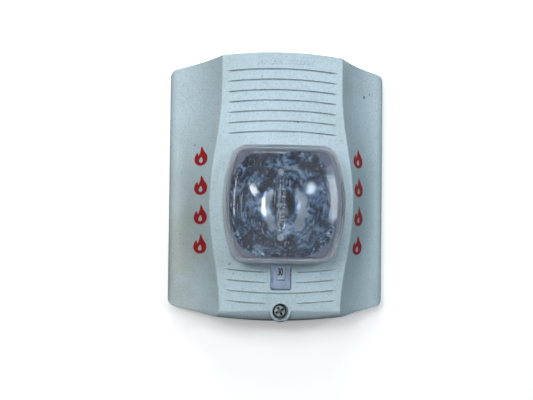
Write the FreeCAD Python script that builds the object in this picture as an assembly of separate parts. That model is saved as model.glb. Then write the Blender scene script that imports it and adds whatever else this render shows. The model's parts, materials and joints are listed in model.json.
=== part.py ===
import FreeCAD, Part
import math
import os

# Wall-mount horn strobe, in millimetres.
# Frame: +X to the right seen from the front, +Z up, the front faces -Y.
# The origin is the centre of the mounting plate's back face, so the wall is the plane y = 0.
# "Depth" is the distance in front of the wall: depth = -y.

# ---- driving dimensions: overall -------------------------------------------------------
WIDTH = 119.4
HEIGHT = 142.2
EDGE_RADIUS = 257.0          # the top and bottom edges are long arcs
CORNER_RADIUS = 3.0
WALL = 2.2
REAR_GAP = 0.5               # the housing's rim stands this far off the wall
TOP_RIM_RELIEF = 2.0         # extra gap at the top, which lets the head swing
SECTION_STEP = 12.0

# ---- driving dimensions: front housing -------------------------------------------------
PANEL_HALF_WIDTH = 32.0      # the raised centre panel, away from its flare
PANEL_FLARE = 5.9
FLARE_Z = -9.0
FLARE_UP = 61.0
FLARE_DOWN = 57.0
PANEL_EDGE_DEPTH = 33.5
PANEL_TILT = 0.7             # the panel is this much deeper at the top than at mid height
PANEL_EDGE_SWELL = 2.4
PANEL_SAG = 1.7
CORNER_DEPTH = 7.0           # where the side wall starts to round into the wing
WING_START_X = 55.5
WING_START_DEPTH = 11.6
CURL_WIDTH = 6.0             # the rounded bottom band of the panel
CURL_DEPTH = 28.5
TOP_ROUND = 1.4

GROOVE_WIDTH = 0.9
GROOVE_DEPTH = 0.7
GROOVE_PITCH = 5.5
GROOVE_HALF_LENGTH = 28.6
UPPER_GROOVES = 7
UPPER_GROOVE_Z = 62.2
LOWER_GROOVES = 4
LOWER_GROOVE_Z = -44.9
GROOVE_SPLIT = 8.5           # lower grooves stop this far from the middle, beside the window
WHOLE_LOWER_GROOVE = 2       # the one lower groove that runs right across
GROOVE_TOOL = (25.0, 45.0)   # depths that a groove's cutting tool spans
SLOT_WIDTH = 0.7             # real sound slots in the floor of some upper grooves
SLOT_HALF_LENGTH = 15.0
MARK_GROUPS = (2, 3, 5)      # plain raised bars on the top band
MARK_START_X = -13.2
MARK_Z = 66.0
MARK_WIDTH = 1.5
MARK_HEIGHT = 2.0
MARK_RISE = 0.3
MARK_PITCH = 2.2
MARK_GROUP_GAP = 2.6

# ---- driving dimensions: strobe --------------------------------------------------------
LENS_Z = -9.3
LENS_FRONT = 63.5
LENS_HALF_WIDTH = 30.8       # at mid height, where the sides bulge
LENS_CORNER_HALF_WIDTH = 27.0
LENS_HALF_HEIGHT = 30.0
LENS_CORNER_RADIUS = 7.5
LENS_WALL = 1.8
LENS_DOME_RADIUS = 80.0
LENS_SHOULDER_RADIUS = 5.0
LENS_FLANGE = 1.5
SEAT_DEPTH = 32.0            # flat seat inside the housing, for the lens gasket
GASKET_THICK = 0.8
FLANGE_THICK = 1.6

REFLECTOR_RADIUS = 27.4
REFLECTOR_RIM_DEPTH = 40.0
REFLECTOR_BACK_DEPTH = 20.0
REFLECTOR_WALL = 1.0
REFLECTOR_FLOOR_RADIUS = 4.0

TUBE_DEPTH = 34.0
TUBE_RADIUS = 2.0
TUBE_HALF_LENGTH = 15.0
LEAD_REACH = 17.5
LEAD_RADIUS = 0.5
GROMMET_RADIUS = 1.6
TRIGGER_WIRE_RADIUS = 0.2
TRIGGER_TURNS = 5
TRIGGER_PITCH = 4.0

# ---- driving dimensions: electronics ---------------------------------------------------
BOARD_REAR = 14.0
BOARD_THICK = 1.6
BOARD_HALF_WIDTH = 40.0
BOARD_BOTTOM = -37.0
BOARD_TOP = 60.0
BOARD_FACE = BOARD_REAR + BOARD_THICK
CAPACITOR_X = -33.0
CAPACITOR_DEPTH = 22.0
CAPACITOR_RADIUS = 5.6
CAPACITOR_HALF_LENGTH = 14.0
CAPACITOR_LEAD_SPREAD = 2.5
PIN_RADIUS = 0.35            # leads and pins soldered through the board
TRANSFORMER_X = 33.0
TRANSFORMER_Z = 1.5
TRANSFORMER_HALF_WIDTH = 5.0
TRANSFORMER_HALF_HEIGHT = 5.5
TRANSFORMER_THICK = 10.0
CHOKE_X = 32.5
CHOKE_Z = -22.0
CHOKE_RADIUS = 5.5
CHOKE_CORE_RADIUS = 2.5
CHOKE_HEIGHT = 9.0
CHOKE_FLANGE = 1.5
CHOKE_TURNS = 7
BOARD_POSTS = [(-36.5, 53.0), (36.5, 53.0), (-36.5, -32.5), (36.5, -32.5)]

HORN_Z = 44.4
HORN_RADIUS = 21.9
HORN_WALL = 1.5
HORN_REAR = 16.6
HORN_FRONT = 31.0
PIEZO_RADIUS = 19.0
CERAMIC_RADIUS = 12.5
PIEZO_DEPTH = 22.0

# ---- driving dimensions: window, slide and dial ----------------------------------------
WINDOW_HALF_WIDTH = 5.35
WINDOW_TOP = -41.0
WINDOW_BOTTOM = -54.1
WINDOW_REAR = 32.8
WINDOW_FRONT = 35.6
WINDOW_CORNER_RADIUS = 1.2
WINDOW_FIT = 0.2             # gap all round the lens and the window
MASK_HALF_WIDTH = 5.2
MASK_THICK = 0.7
SCALE_Z = -45.3
SCALE_PITCH = 5.0
SCALE_BELOW = 1              # positions on each side of the one that shows
SCALE_ABOVE = 4
SCALE_MARGIN = 3.0
SLIDE_LOW = -SCALE_BELOW * SCALE_PITCH - SCALE_MARGIN
SLIDE_HIGH = SCALE_ABOVE * SCALE_PITCH + SCALE_MARGIN
STRIP_DEPTH = 30.0
STRIP_THICK = 1.0
STRIP_HALF_HEIGHT = 4.0
STEM_HALF_WIDTH = 2.5
STEM_HALF_HEIGHT = 2.0
BASE_FRONT = 13.0            # front of the slotted switch base
DIAL_X = 28.0
DIAL_Z = 30.0
DIAL_RADIUS = 3.4
DIAL_REAR = 8.6
SWITCH_HALF_WIDTH = 5.0

# ---- driving dimensions: rear cover and captive screw ----------------------------------
COVER_REAR = 5.0
COVER_THICK = 1.6
COVER_HALF_WIDTH = 55.5
COVER_SCREWS = [(-44.0, 57.0), (44.0, 57.0), (-44.0, -57.0), (44.0, -57.0)]
SCREW_Z = -65.6
SCREW_RADIUS = 1.75          # 6-32 machine screw
SCREW_HEAD_RADIUS = 3.5
SCREW_HEAD_TOP = 31.0
SCREW_HEAD_THICK = 2.6
SCREW_TIP = 3.2
SCREW_BOSS_RADIUS = 5.5
SCREW_BOSS_FRONT = 34.9
COUNTERBORE_RADIUS = 4.15
RETAINER_DEPTH = 18.0
RETAINER_RADIUS = 4.1
RETAINER_THICK = 1.5
RETAINER_STOP = 25.0         # depth of the ledge that the retainer meets when the screw is out
SCREW_PLAY = 0.4
INSERT_RADIUS = 2.45
INSERT_FRONT = 9.0
INSERT_REAR = 1.5

# ---- driving dimensions: mounting plate ------------------------------------------------
PLATE_THICK = 2.5
PLATE_INSET = 3.7
BOX_HOLE_RADIUS = 2.2
GANG_SPACING_Z = 83.34
GANG_SPACING_X = 46.04
OCTAGON_SPACING = 88.9
WIRE_HALF_WIDTH = 17.0
WIRE_BOTTOM = 3.0
WIRE_TOP = 34.0
HINGE_Z = 65.8
HINGE_DEPTH = 3.2
HINGE_BAR_RADIUS = 1.4
HINGE_GAP = 0.15
HOOK_WALL = 1.6
HOOK_X = 18.0
HOOK_HALF_WIDTH = 5.0
EAR_INNER = 5.6
EAR_OUTER = 7.6
EAR_RISE = 1.0
POST_HALF_WIDTH = 5.0
RIB_X = 48.0

TERMINAL_X = [-18.0, -6.0, 6.0, 18.0]
BLOCK_HALF_WIDTH = 25.0
BLOCK_BOTTOM = -31.0
BLOCK_TOP = -11.0
BLOCK_FRONT = 11.5
PIN_Z = -15.5
TERMINAL_SCREW_Z = -24.5
CLIP_DEPTH = 5.0             # floor of the terminal pockets
TERMINAL_SCREW_HOLE = 1.8
WASHER_DEPTH = 7.0

FAR = 90.0                   # beyond every face of the object, for cutting tools


# ---- helpers ---------------------------------------------------------------------------
def point(x, depth, z):
    """A point given by its depth in front of the wall."""
    return FreeCAD.Vector(x, -depth, z)


def box(x0, x1, d0, d1, z0, z1):
    return Part.makeBox(x1 - x0, d1 - d0, z1 - z0, point(x0, d1, z0))


def rod_y(x, z, radius, d0, d1):
    """A cylinder that runs from depth d0 to depth d1."""
    return Part.makeCylinder(radius, d1 - d0, point(x, d0, z), FreeCAD.Vector(0, -1, 0))


def rod_x(depth, z, radius, x0, x1):
    return Part.makeCylinder(radius, x1 - x0, point(x0, depth, z), FreeCAD.Vector(1, 0, 0))


def rod_z(x, depth, radius, z0, z1):
    return Part.makeCylinder(radius, z1 - z0, point(x, depth, z0), FreeCAD.Vector(0, 0, 1))


def ring_y(x, z, outer, inner, d0, d1):
    return rod_y(x, z, outer, d0, d1).cut(rod_y(x, z, inner, d0 - 1, d1 + 1))


def joined(shapes):
    return shapes[0].multiFuse(shapes[1:]).removeSplitter()


def save(node, shape):
    shape.exportStep(os.path.join("parts", node + ".step"))


# ---- outlines seen from the front ------------------------------------------------------
def edge_drop(x):
    """How far the long arc of the top or bottom edge has fallen at x."""
    return EDGE_RADIUS - math.sqrt(EDGE_RADIUS ** 2 - x ** 2)


def outline_solid(inset, d0, d1):
    """The whole outline, drawn in by an inset, as a block between two depths."""
    half_width = WIDTH / 2 - inset
    half_height = HEIGHT / 2 - inset
    side_z = half_height - edge_drop(half_width)
    top = Part.Arc(point(half_width, d0, side_z), point(0, d0, half_height),
                   point(-half_width, d0, side_z)).toShape()
    left = Part.makeLine(point(-half_width, d0, side_z), point(-half_width, d0, -side_z))
    bottom = Part.Arc(point(-half_width, d0, -side_z), point(0, d0, -half_height),
                      point(half_width, d0, -side_z)).toShape()
    right = Part.makeLine(point(half_width, d0, -side_z), point(half_width, d0, side_z))
    face = Part.Face(Part.Wire([top, left, bottom, right]))
    block = face.extrude(FreeCAD.Vector(0, d0 - d1, 0))
    corners = [edge for edge in block.Edges
               if abs(edge.Vertexes[0].X - edge.Vertexes[-1].X) < 1e-6
               and abs(edge.Vertexes[0].Z - edge.Vertexes[-1].Z) < 1e-6]
    return block.makeFillet(max(CORNER_RADIUS - inset, 1.0), corners)


def lens_wire(grow, depth):
    """The lens outline: straight top and bottom, bulging sides, rounded corners."""
    radius = LENS_CORNER_RADIUS + grow
    corner_x = LENS_CORNER_HALF_WIDTH + grow
    side_x = LENS_HALF_WIDTH + grow
    top_z = LENS_HALF_HEIGHT + grow
    lean = math.radians(12)
    flat_x = corner_x - radius
    bend_z = top_z - radius
    side_end_x = flat_x + radius * math.cos(lean)
    side_end_z = bend_z + radius * math.sin(lean)
    mid_angle = (math.pi / 2 + lean) / 2
    mid_x = flat_x + radius * math.cos(mid_angle)
    mid_z = bend_z + radius * math.sin(mid_angle)

    def place(x, z):
        return point(x, depth, LENS_Z + z)

    edges = []
    edges.append(Part.makeLine(place(-flat_x, top_z), place(flat_x, top_z)))
    edges.append(Part.Arc(place(flat_x, top_z), place(mid_x, mid_z),
                          place(side_end_x, side_end_z)).toShape())
    edges.append(Part.Arc(place(side_end_x, side_end_z), place(side_x, 0),
                          place(side_end_x, -side_end_z)).toShape())
    edges.append(Part.Arc(place(side_end_x, -side_end_z), place(mid_x, -mid_z),
                          place(flat_x, -top_z)).toShape())
    edges.append(Part.makeLine(place(flat_x, -top_z), place(-flat_x, -top_z)))
    edges.append(Part.Arc(place(-flat_x, -top_z), place(-mid_x, -mid_z),
                          place(-side_end_x, -side_end_z)).toShape())
    edges.append(Part.Arc(place(-side_end_x, -side_end_z), place(-side_x, 0),
                          place(-side_end_x, side_end_z)).toShape())
    edges.append(Part.Arc(place(-side_end_x, side_end_z), place(-mid_x, mid_z),
                          place(-flat_x, top_z)).toShape())
    return Part.Wire(edges)


def lens_block(grow, d0, d1):
    return Part.Face(lens_wire(grow, d0)).extrude(FreeCAD.Vector(0, d0 - d1, 0))


def lens_dome(grow, d0):
    """The lens body: the outline block under a shallow dome, with a rounded shoulder."""
    front = LENS_FRONT + grow
    ball = Part.makeSphere(LENS_DOME_RADIUS, point(0, front - LENS_DOME_RADIUS, LENS_Z))
    body = lens_block(grow, d0, front + 1).common(ball)
    shoulder = [edge for edge in body.Edges if -edge.BoundBox.YMax > d0 + 10]
    return body.makeFillet(LENS_SHOULDER_RADIUS + grow, shoulder)


# ---- front housing ---------------------------------------------------------------------
def flare(z):
    """0 away from the strobe and 1 beside its middle."""
    reach = FLARE_UP if z > FLARE_Z else FLARE_DOWN
    along = min(abs(z - FLARE_Z) / reach, 1.0)
    return math.cos(math.pi / 2 * along) ** 2


def bezier(points):
    curve = Part.BezierCurve()
    curve.setPoles(points)
    return curve.toShape()


def housing_section(z, inset):
    """One closed section of the housing at height z, drawn in by the wall for the inside."""
    side_x = WIDTH / 2 - inset
    panel_x = PANEL_HALF_WIDTH + PANEL_FLARE * flare(z) - 0.6 * inset
    edge_depth = (PANEL_EDGE_DEPTH + PANEL_TILT * z / (HEIGHT / 2)
                  + PANEL_EDGE_SWELL * flare(z) - 1.05 * inset)
    start_x = WING_START_X - 0.4 * inset
    start_depth = WING_START_DEPTH - 0.92 * inset
    span = start_x - panel_x
    outer = (start_x - 0.38 * span, start_depth + 0.155 * span)
    inner = (panel_x + 0.34 * span, edge_depth - 0.60 * span)
    rear = REAR_GAP - inset

    def half(side):
        wall = Part.makeLine(point(side * side_x, rear, z), point(side * side_x, CORNER_DEPTH, z))
        corner = bezier([point(side * side_x, CORNER_DEPTH, z),
                         point(side * side_x, start_depth - 2.2, z),
                         point(side * (start_x + 2.4), start_depth - 1.0, z),
                         point(side * start_x, start_depth, z)])
        wing = bezier([point(side * start_x, start_depth, z),
                       point(side * outer[0], outer[1], z),
                       point(side * inner[0], inner[1], z),
                       point(side * panel_x, edge_depth, z)])
        return [wall, corner, wing]

    panel = Part.Arc(point(panel_x, edge_depth, z), point(0, edge_depth + PANEL_SAG, z),
                     point(-panel_x, edge_depth, z)).toShape()
    back = Part.makeLine(point(-side_x, rear, z), point(side_x, rear, z))
    return Part.Wire(half(1) + [panel] + list(reversed(half(-1))) + [back])


def housing_loft(inset):
    count = int(HEIGHT / SECTION_STEP) // 2 + 1
    heights = [SECTION_STEP * index for index in range(-count, count + 1)]
    return Part.makeLoft([housing_section(z, inset) for z in heights], True, False)


def turned_about_edge(profile, side):
    """Turns a (radius, depth) outline about the centre of the top (1) or bottom (-1) edge."""
    centre_z = side * (HEIGHT / 2 - EDGE_RADIUS)
    corners = []
    for item in profile:
        corners.append([point(0, depth, centre_z + side * radius) for radius, depth in item])
    edges = []
    for item in corners:
        if len(item) == 2:
            edges.append(Part.makeLine(item[0], item[1]))
        else:
            edges.append(Part.Arc(item[0], item[1], item[2]).toShape())
    face = Part.Face(Part.Wire(edges))
    return face.revolve(FreeCAD.Vector(0, 0, centre_z), FreeCAD.Vector(0, 1, 0), 360)


def edge_limit(side, width, from_depth, to_depth):
    """All that the rounding of the top or bottom edge leaves in place."""
    inner = EDGE_RADIUS - 190.0
    start = EDGE_RADIUS - width
    middle = (start + 0.72 * width, from_depth - 0.30 * (from_depth - to_depth))
    rim = EDGE_RADIUS + 5.0
    return turned_about_edge([
        [(inner, -5), (inner, 60)],
        [(inner, 60), (start, 60)],
        [(start, 60), (start, from_depth)],
        [(start, from_depth), middle, (EDGE_RADIUS, to_depth)],
        [(EDGE_RADIUS, to_depth), (rim, to_depth)],
        [(rim, to_depth), (rim, -5)],
        [(rim, -5), (inner, -5)]], side)


def groove_ring(side, z, width):
    """A thin arc that runs parallel to the top or bottom edge, at height z in the middle."""
    radius = abs(z - side * (HEIGHT / 2 - EDGE_RADIUS))
    low = radius - width / 2
    high = radius + width / 2
    rear, front = GROOVE_TOOL
    return turned_about_edge([
        [(low, rear), (low, front)],
        [(low, front), (high, front)],
        [(high, front), (high, rear)],
        [(high, rear), (low, rear)]], side)


def groove_tools():
    """The grooves, each cut to its length; the lower ones stop beside the window and screw."""
    length = box(-GROOVE_HALF_LENGTH, GROOVE_HALF_LENGTH, 0, FAR, -FAR, FAR)
    middle = box(-GROOVE_SPLIT, GROOVE_SPLIT, 0, FAR, -FAR, 0)
    tools = []
    for index in range(UPPER_GROOVES):
        ring = groove_ring(1, UPPER_GROOVE_Z - GROOVE_PITCH * index, GROOVE_WIDTH)
        tools.append(ring.common(length))
    for index in range(LOWER_GROOVES):
        arc = groove_ring(-1, LOWER_GROOVE_Z - GROOVE_PITCH * index, GROOVE_WIDTH).common(length)
        if index != WHOLE_LOWER_GROOVE:
            arc = arc.cut(middle)
        tools.append(arc)
    return Part.makeCompound(tools)


def sound_slots():
    """The openings in the floors of the middle upper grooves, which let the horn sound out."""
    length = box(-SLOT_HALF_LENGTH, SLOT_HALF_LENGTH, 0, FAR, 0, FAR)
    slots = []
    for index in range(1, UPPER_GROOVES - 1):
        z = UPPER_GROOVE_Z - GROOVE_PITCH * index
        slots.append(groove_ring(1, z, SLOT_WIDTH).common(length))
    return Part.makeCompound(slots)


def raised_marks():
    """Three short groups of plain bars on the top band."""
    surface = PANEL_EDGE_DEPTH + PANEL_TILT * MARK_Z / (HEIGHT / 2) + PANEL_SAG
    bars = []
    x = MARK_START_X
    for group in MARK_GROUPS:
        for _ in range(group):
            low = MARK_Z - MARK_HEIGHT / 2 - edge_drop(x)
            bars.append(box(x, x + MARK_WIDTH, surface - WALL / 2, surface + MARK_RISE,
                            low, low + MARK_HEIGHT))
            x += MARK_PITCH
        x += MARK_GROUP_GAP
    return bars


def hook(x):
    """A hook that drops over the mounting plate's bar; its inside is round about the hinge."""
    x0 = x - HOOK_HALF_WIDTH
    x1 = x + HOOK_HALF_WIDTH
    inner = HINGE_BAR_RADIUS + HINGE_GAP
    outer = inner + HOOK_WALL
    body = rod_x(HINGE_DEPTH, HINGE_Z, outer, x0, x1)
    body = body.fuse(box(x0, x1, HINGE_DEPTH + inner, HINGE_DEPTH + outer, HINGE_Z - 2.5, HINGE_Z))
    body = body.fuse(box(x0, x1, HINGE_DEPTH, HINGE_DEPTH + outer, HINGE_Z, HINGE_Z + 3.6))
    mouth = box(x0 - 1, x1 + 1, HINGE_DEPTH - inner, HINGE_DEPTH + inner, HINGE_Z - 6, HINGE_Z)
    return body.cut(rod_x(HINGE_DEPTH, HINGE_Z, inner, x0 - 1, x1 + 1)).cut(mouth)


def housing_posts():
    """Seats, rings and posts inside the shell, before they are trimmed to its outer skin."""
    posts = [lens_block(LENS_FLANGE + 1.0, SEAT_DEPTH, 45)]
    posts.append(ring_y(0, HORN_Z, HORN_RADIUS, HORN_RADIUS - 1.8, HORN_FRONT + GASKET_THICK, 45))
    for x, z in COVER_SCREWS:
        posts.append(ring_y(x, z, 3.2, 1.2, COVER_REAR + COVER_THICK, 30))
    for x, z in BOARD_POSTS:
        posts.append(ring_y(x, z, 3.0, 1.1, BOARD_FACE, 40))
    posts.append(rod_y(0, SCREW_Z, SCREW_BOSS_RADIUS, 12, 40))
    return joined(posts)


def front_housing():
    panel_bottom = PANEL_EDGE_DEPTH - PANEL_TILT + PANEL_SAG
    panel_top = PANEL_EDGE_DEPTH + PANEL_TILT + PANEL_SAG
    outer = housing_loft(0).common(outline_solid(0, REAR_GAP, FAR))
    outer = outer.common(edge_limit(-1, CURL_WIDTH, panel_bottom, CURL_DEPTH))
    outer = outer.common(edge_limit(1, TOP_ROUND, panel_top + 0.2, panel_top - 1.6))
    inside = housing_loft(WALL).common(outline_solid(WALL, -1, FAR))
    inside = inside.common(
        edge_limit(-1, CURL_WIDTH + WALL, panel_bottom - WALL, CURL_DEPTH - WALL))
    shell = outer.cut(inside)
    shell = shell.cut(groove_tools().cut(housing_loft(GROOVE_DEPTH)))
    shell = shell.cut(sound_slots())
    shell = shell.fuse(housing_posts().common(outer))

    # the boss round the captive screw stands a little proud of the curled band
    boss = rod_y(0, SCREW_Z, SCREW_BOSS_RADIUS, SCREW_BOSS_FRONT - 10, SCREW_BOSS_FRONT)
    shell = shell.fuse(boss.common(outline_solid(0, 0, FAR)))
    seat = SCREW_HEAD_TOP - SCREW_HEAD_THICK - 0.1
    shell = shell.cut(rod_y(0, SCREW_Z, COUNTERBORE_RADIUS, seat, FAR))
    shell = shell.cut(rod_y(0, SCREW_Z, SCREW_RADIUS + SCREW_PLAY, 0, FAR))
    shell = shell.cut(rod_y(0, SCREW_Z, RETAINER_RADIUS + SCREW_PLAY, 0, RETAINER_STOP))

    # openings for the lens and the window
    shell = shell.cut(lens_block(WINDOW_FIT, SEAT_DEPTH - 10, FAR))
    opening_x = WINDOW_HALF_WIDTH + WINDOW_FIT
    shell = shell.cut(box(-opening_x, opening_x, WINDOW_REAR - 8, FAR,
                          WINDOW_BOTTOM - WINDOW_FIT, WINDOW_TOP + WINDOW_FIT))

    # the top rim is relieved, and two hooks hang the head on the plate
    relief_x = WIDTH / 2 - WALL - 0.5
    relief = box(-relief_x, relief_x, -5, TOP_RIM_RELIEF, HINGE_Z - 5, FAR)
    shell = shell.cut(relief)
    for x in (-HOOK_X, HOOK_X):
        shell = shell.fuse(hook(x).common(outline_solid(0.5, -5, FAR)))
    for mark in raised_marks():
        shell = shell.fuse(mark)
    return shell.removeSplitter()


# ---- strobe ----------------------------------------------------------------------------
def strobe_lens():
    base = SEAT_DEPTH - GASKET_THICK - FLANGE_THICK
    outer = lens_dome(0, base)
    flange = lens_block(LENS_FLANGE, base, base + FLANGE_THICK)
    inner = lens_dome(-LENS_WALL, base - 1)
    return outer.fuse(flange).cut(inner).removeSplitter()


def lens_gasket():
    depth = SEAT_DEPTH - GASKET_THICK
    ring = lens_block(LENS_FLANGE, depth, SEAT_DEPTH)
    return ring.cut(lens_block(0.2, depth - 1, SEAT_DEPTH + 1))


def turned_y(x, z, profile):
    """Turns a closed (radius, depth) outline about a line along Y through (x, z)."""
    corners = [point(x + radius, depth, z) for radius, depth in profile]
    face = Part.Face(Part.makePolygon(corners + corners[:1]))
    return face.revolve(FreeCAD.Vector(x, 0, z), FreeCAD.Vector(0, 1, 0), 360)


def bowl_radius(depth):
    along = (depth - REFLECTOR_BACK_DEPTH) / (REFLECTOR_RIM_DEPTH - REFLECTOR_BACK_DEPTH)
    return REFLECTOR_FLOOR_RADIUS + (REFLECTOR_RADIUS - REFLECTOR_FLOOR_RADIUS) * math.sqrt(along)


def bowl_solid(grow):
    """The space inside the dish: a paraboloid in short steps of depth, grown by a wall."""
    steps = 10
    reach = REFLECTOR_RIM_DEPTH - REFLECTOR_BACK_DEPTH
    profile = [(0, REFLECTOR_BACK_DEPTH - grow)]
    for index in range(steps + 1):
        depth = REFLECTOR_BACK_DEPTH + reach * (index / steps) ** 2
        profile.append((bowl_radius(depth) + grow, depth - 0.5 * grow))
    rim = profile[-1][0]
    profile.append((rim, REFLECTOR_RIM_DEPTH + 1))
    profile.append((0, REFLECTOR_RIM_DEPTH + 1))
    return turned_y(0, LENS_Z, profile)


def reflector():
    rim = lens_block(-LENS_WALL - 0.4, REFLECTOR_RIM_DEPTH - 1.2, REFLECTOR_RIM_DEPTH)
    skirt = lens_block(-LENS_WALL - 0.4, SEAT_DEPTH - 4.5, REFLECTOR_RIM_DEPTH)
    skirt = skirt.cut(lens_block(-LENS_WALL - 1.4, SEAT_DEPTH - 6, REFLECTOR_RIM_DEPTH + 1))
    trim = box(-60, 60, 0, REFLECTOR_RIM_DEPTH, -80, 80)
    dish = bowl_solid(REFLECTOR_WALL).common(trim).common(
        lens_block(-LENS_WALL - 0.4, 0, REFLECTOR_RIM_DEPTH))
    solid = rim.fuse(skirt).fuse(dish).cut(bowl_solid(0))
    for side in (-1, 1):
        solid = solid.cut(rod_y(0, LENS_Z + side * LEAD_REACH, GROMMET_RADIUS, 10, 36))
    solid = solid.cut(rod_y(0, LENS_Z, 1.2, 10, 30))
    return solid.removeSplitter()


def flash_tube():
    """A glass tube with its two closed ends a little narrower."""
    z0 = LENS_Z - TUBE_HALF_LENGTH
    z1 = LENS_Z + TUBE_HALF_LENGTH
    outer = rod_z(0, TUBE_DEPTH, TUBE_RADIUS, z0, z1)
    outer = outer.makeFillet(1.0, [edge for edge in outer.Edges if edge.Closed])
    bore = rod_z(0, TUBE_DEPTH, TUBE_RADIUS - 0.6, z0 + 2, z1 - 2)
    tube = outer.cut(bore)
    for side in (-1, 1):
        end = LENS_Z + side * TUBE_HALF_LENGTH
        tube = tube.cut(rod_z(0, TUBE_DEPTH, LEAD_RADIUS, end - 3, end + 3))
    return tube


def tube_leads():
    """Two electrodes, each a pin in the tube's end, a bend and a lead back to the board."""
    leads = []
    for side in (-1, 1):
        inner_z = LENS_Z + side * (TUBE_HALF_LENGTH - 4)
        lead_z = LENS_Z + side * LEAD_REACH
        low = min(inner_z, lead_z)
        pin = rod_z(0, TUBE_DEPTH, LEAD_RADIUS - 0.02, low, max(inner_z, lead_z))
        lead = rod_y(0, lead_z, LEAD_RADIUS - 0.02, BOARD_REAR - 1, TUBE_DEPTH)
        knee = Part.makeSphere(LEAD_RADIUS, point(0, TUBE_DEPTH, lead_z))
        cathode = rod_z(0, TUBE_DEPTH, 1.1, inner_z - 1, inner_z + 1)
        leads.append(joined([pin, lead, knee, cathode]))
    return Part.makeCompound(leads)


def tube_grommets():
    grommets = []
    for side in (-1, 1):
        z = LENS_Z + side * LEAD_REACH
        depth = REFLECTOR_BACK_DEPTH + 4.5
        sleeve = ring_y(0, z, GROMMET_RADIUS - 0.05, LEAD_RADIUS + 0.05, depth, TUBE_DEPTH - 3)
        grommets.append(sleeve)
    return Part.makeCompound(grommets)


def trigger_wire():
    """Turns of fine wire round the tube, tied by a wire along it, with a lead to the board."""
    radius = TUBE_RADIUS + TRIGGER_WIRE_RADIUS + 0.1
    half = TRIGGER_PITCH * (TRIGGER_TURNS - 1) / 2
    spine_radius = TRIGGER_WIRE_RADIUS + 0.1
    spine_depth = TUBE_DEPTH - radius - 0.05
    wire = rod_z(0, spine_depth, spine_radius, LENS_Z - half - 0.6, LENS_Z + half + 0.6)
    wire = wire.fuse(rod_y(0, LENS_Z, PIN_RADIUS, BOARD_REAR - 1, spine_depth))
    for index in range(TRIGGER_TURNS):
        centre = point(0, TUBE_DEPTH, LENS_Z - half + TRIGGER_PITCH * index)
        wire = wire.fuse(Part.makeTorus(radius, TRIGGER_WIRE_RADIUS, centre, FreeCAD.Vector(0, 0, 1)))
    return wire


# ---- circuit board ---------------------------------------------------------------------
def main_board():
    board = box(-BOARD_HALF_WIDTH, BOARD_HALF_WIDTH, BOARD_REAR, BOARD_REAR + BOARD_THICK,
                BOARD_BOTTOM, BOARD_TOP)
    uprights = [edge for edge in board.Edges if abs(edge.BoundBox.YLength - BOARD_THICK) < 0.1
                and edge.BoundBox.XLength < 0.1 and edge.BoundBox.ZLength < 0.1]
    board = board.makeFillet(4.0, uprights)
    for x, z in BOARD_POSTS:
        board = board.cut(rod_y(x, z, 1.6, 0, FAR))
    for side in (-1, 1):
        board = board.cut(rod_y(0, LENS_Z + side * LEAD_REACH, LEAD_RADIUS + 0.1, 0, FAR))
    board = board.cut(rod_y(0, LENS_Z, 0.5, 0, FAR))
    for x in TERMINAL_X:
        board = board.cut(box(x - 0.6, x + 0.6, 0, FAR, PIN_Z - 1.8, PIN_Z + 1.8))
    return board


def board_screws():
    screws = []
    for x, z in BOARD_POSTS:
        head = rod_y(x, z, 2.4, BOARD_REAR - 1.6, BOARD_REAR)
        head = head.cut(box(x - 2, x + 2, BOARD_REAR - 2, BOARD_REAR - 1, z - 0.3, z + 0.3))
        screws.append(head.fuse(rod_y(x, z, 1.1, BOARD_REAR, BOARD_REAR + 6)))
    return Part.makeCompound(screws)


def flash_capacitor():
    """An electrolytic can that lies beside the dish, with its crimped groove and two leads."""
    low = LENS_Z - CAPACITOR_HALF_LENGTH
    can = rod_z(CAPACITOR_X, CAPACITOR_DEPTH, CAPACITOR_RADIUS, low, LENS_Z + CAPACITOR_HALF_LENGTH)
    can = can.makeFillet(0.8, [edge for edge in can.Edges if edge.Closed])
    groove = Part.makeTorus(CAPACITOR_RADIUS + 0.6, 0.9, point(CAPACITOR_X, CAPACITOR_DEPTH, low + 3.5),
                            FreeCAD.Vector(0, 0, 1))
    can = can.cut(groove)
    bend_z = low - 1.2
    for x in (CAPACITOR_X - CAPACITOR_LEAD_SPREAD, CAPACITOR_X + CAPACITOR_LEAD_SPREAD):
        can = can.fuse(rod_z(x, CAPACITOR_DEPTH, PIN_RADIUS, bend_z, low + 1))
        can = can.fuse(rod_y(x, bend_z, PIN_RADIUS, BOARD_REAR - 0.8, CAPACITOR_DEPTH))
    return can


def trigger_transformer():
    """A potted block on four pins."""
    rear = BOARD_FACE + 0.4
    body = box(TRANSFORMER_X - TRANSFORMER_HALF_WIDTH, TRANSFORMER_X + TRANSFORMER_HALF_WIDTH,
               rear, rear + TRANSFORMER_THICK,
               TRANSFORMER_Z - TRANSFORMER_HALF_HEIGHT, TRANSFORMER_Z + TRANSFORMER_HALF_HEIGHT)
    body = body.makeFillet(0.8, body.Edges)
    pins = [rod_y(TRANSFORMER_X + side_x * 3.0, TRANSFORMER_Z + side_z * 3.5, PIN_RADIUS,
                  BOARD_REAR - 0.8, BOARD_FACE + 1)
            for side_x in (-1, 1) for side_z in (-1, 1)]
    return joined([body] + pins)


def choke_core():
    """A drum core: two flanges on a post."""
    top = BOARD_FACE + CHOKE_HEIGHT
    return joined([rod_y(CHOKE_X, CHOKE_Z, CHOKE_RADIUS, BOARD_FACE, BOARD_FACE + CHOKE_FLANGE),
                   rod_y(CHOKE_X, CHOKE_Z, CHOKE_CORE_RADIUS, BOARD_FACE, top),
                   rod_y(CHOKE_X, CHOKE_Z, CHOKE_RADIUS, top - CHOKE_FLANGE, top)])


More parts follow.
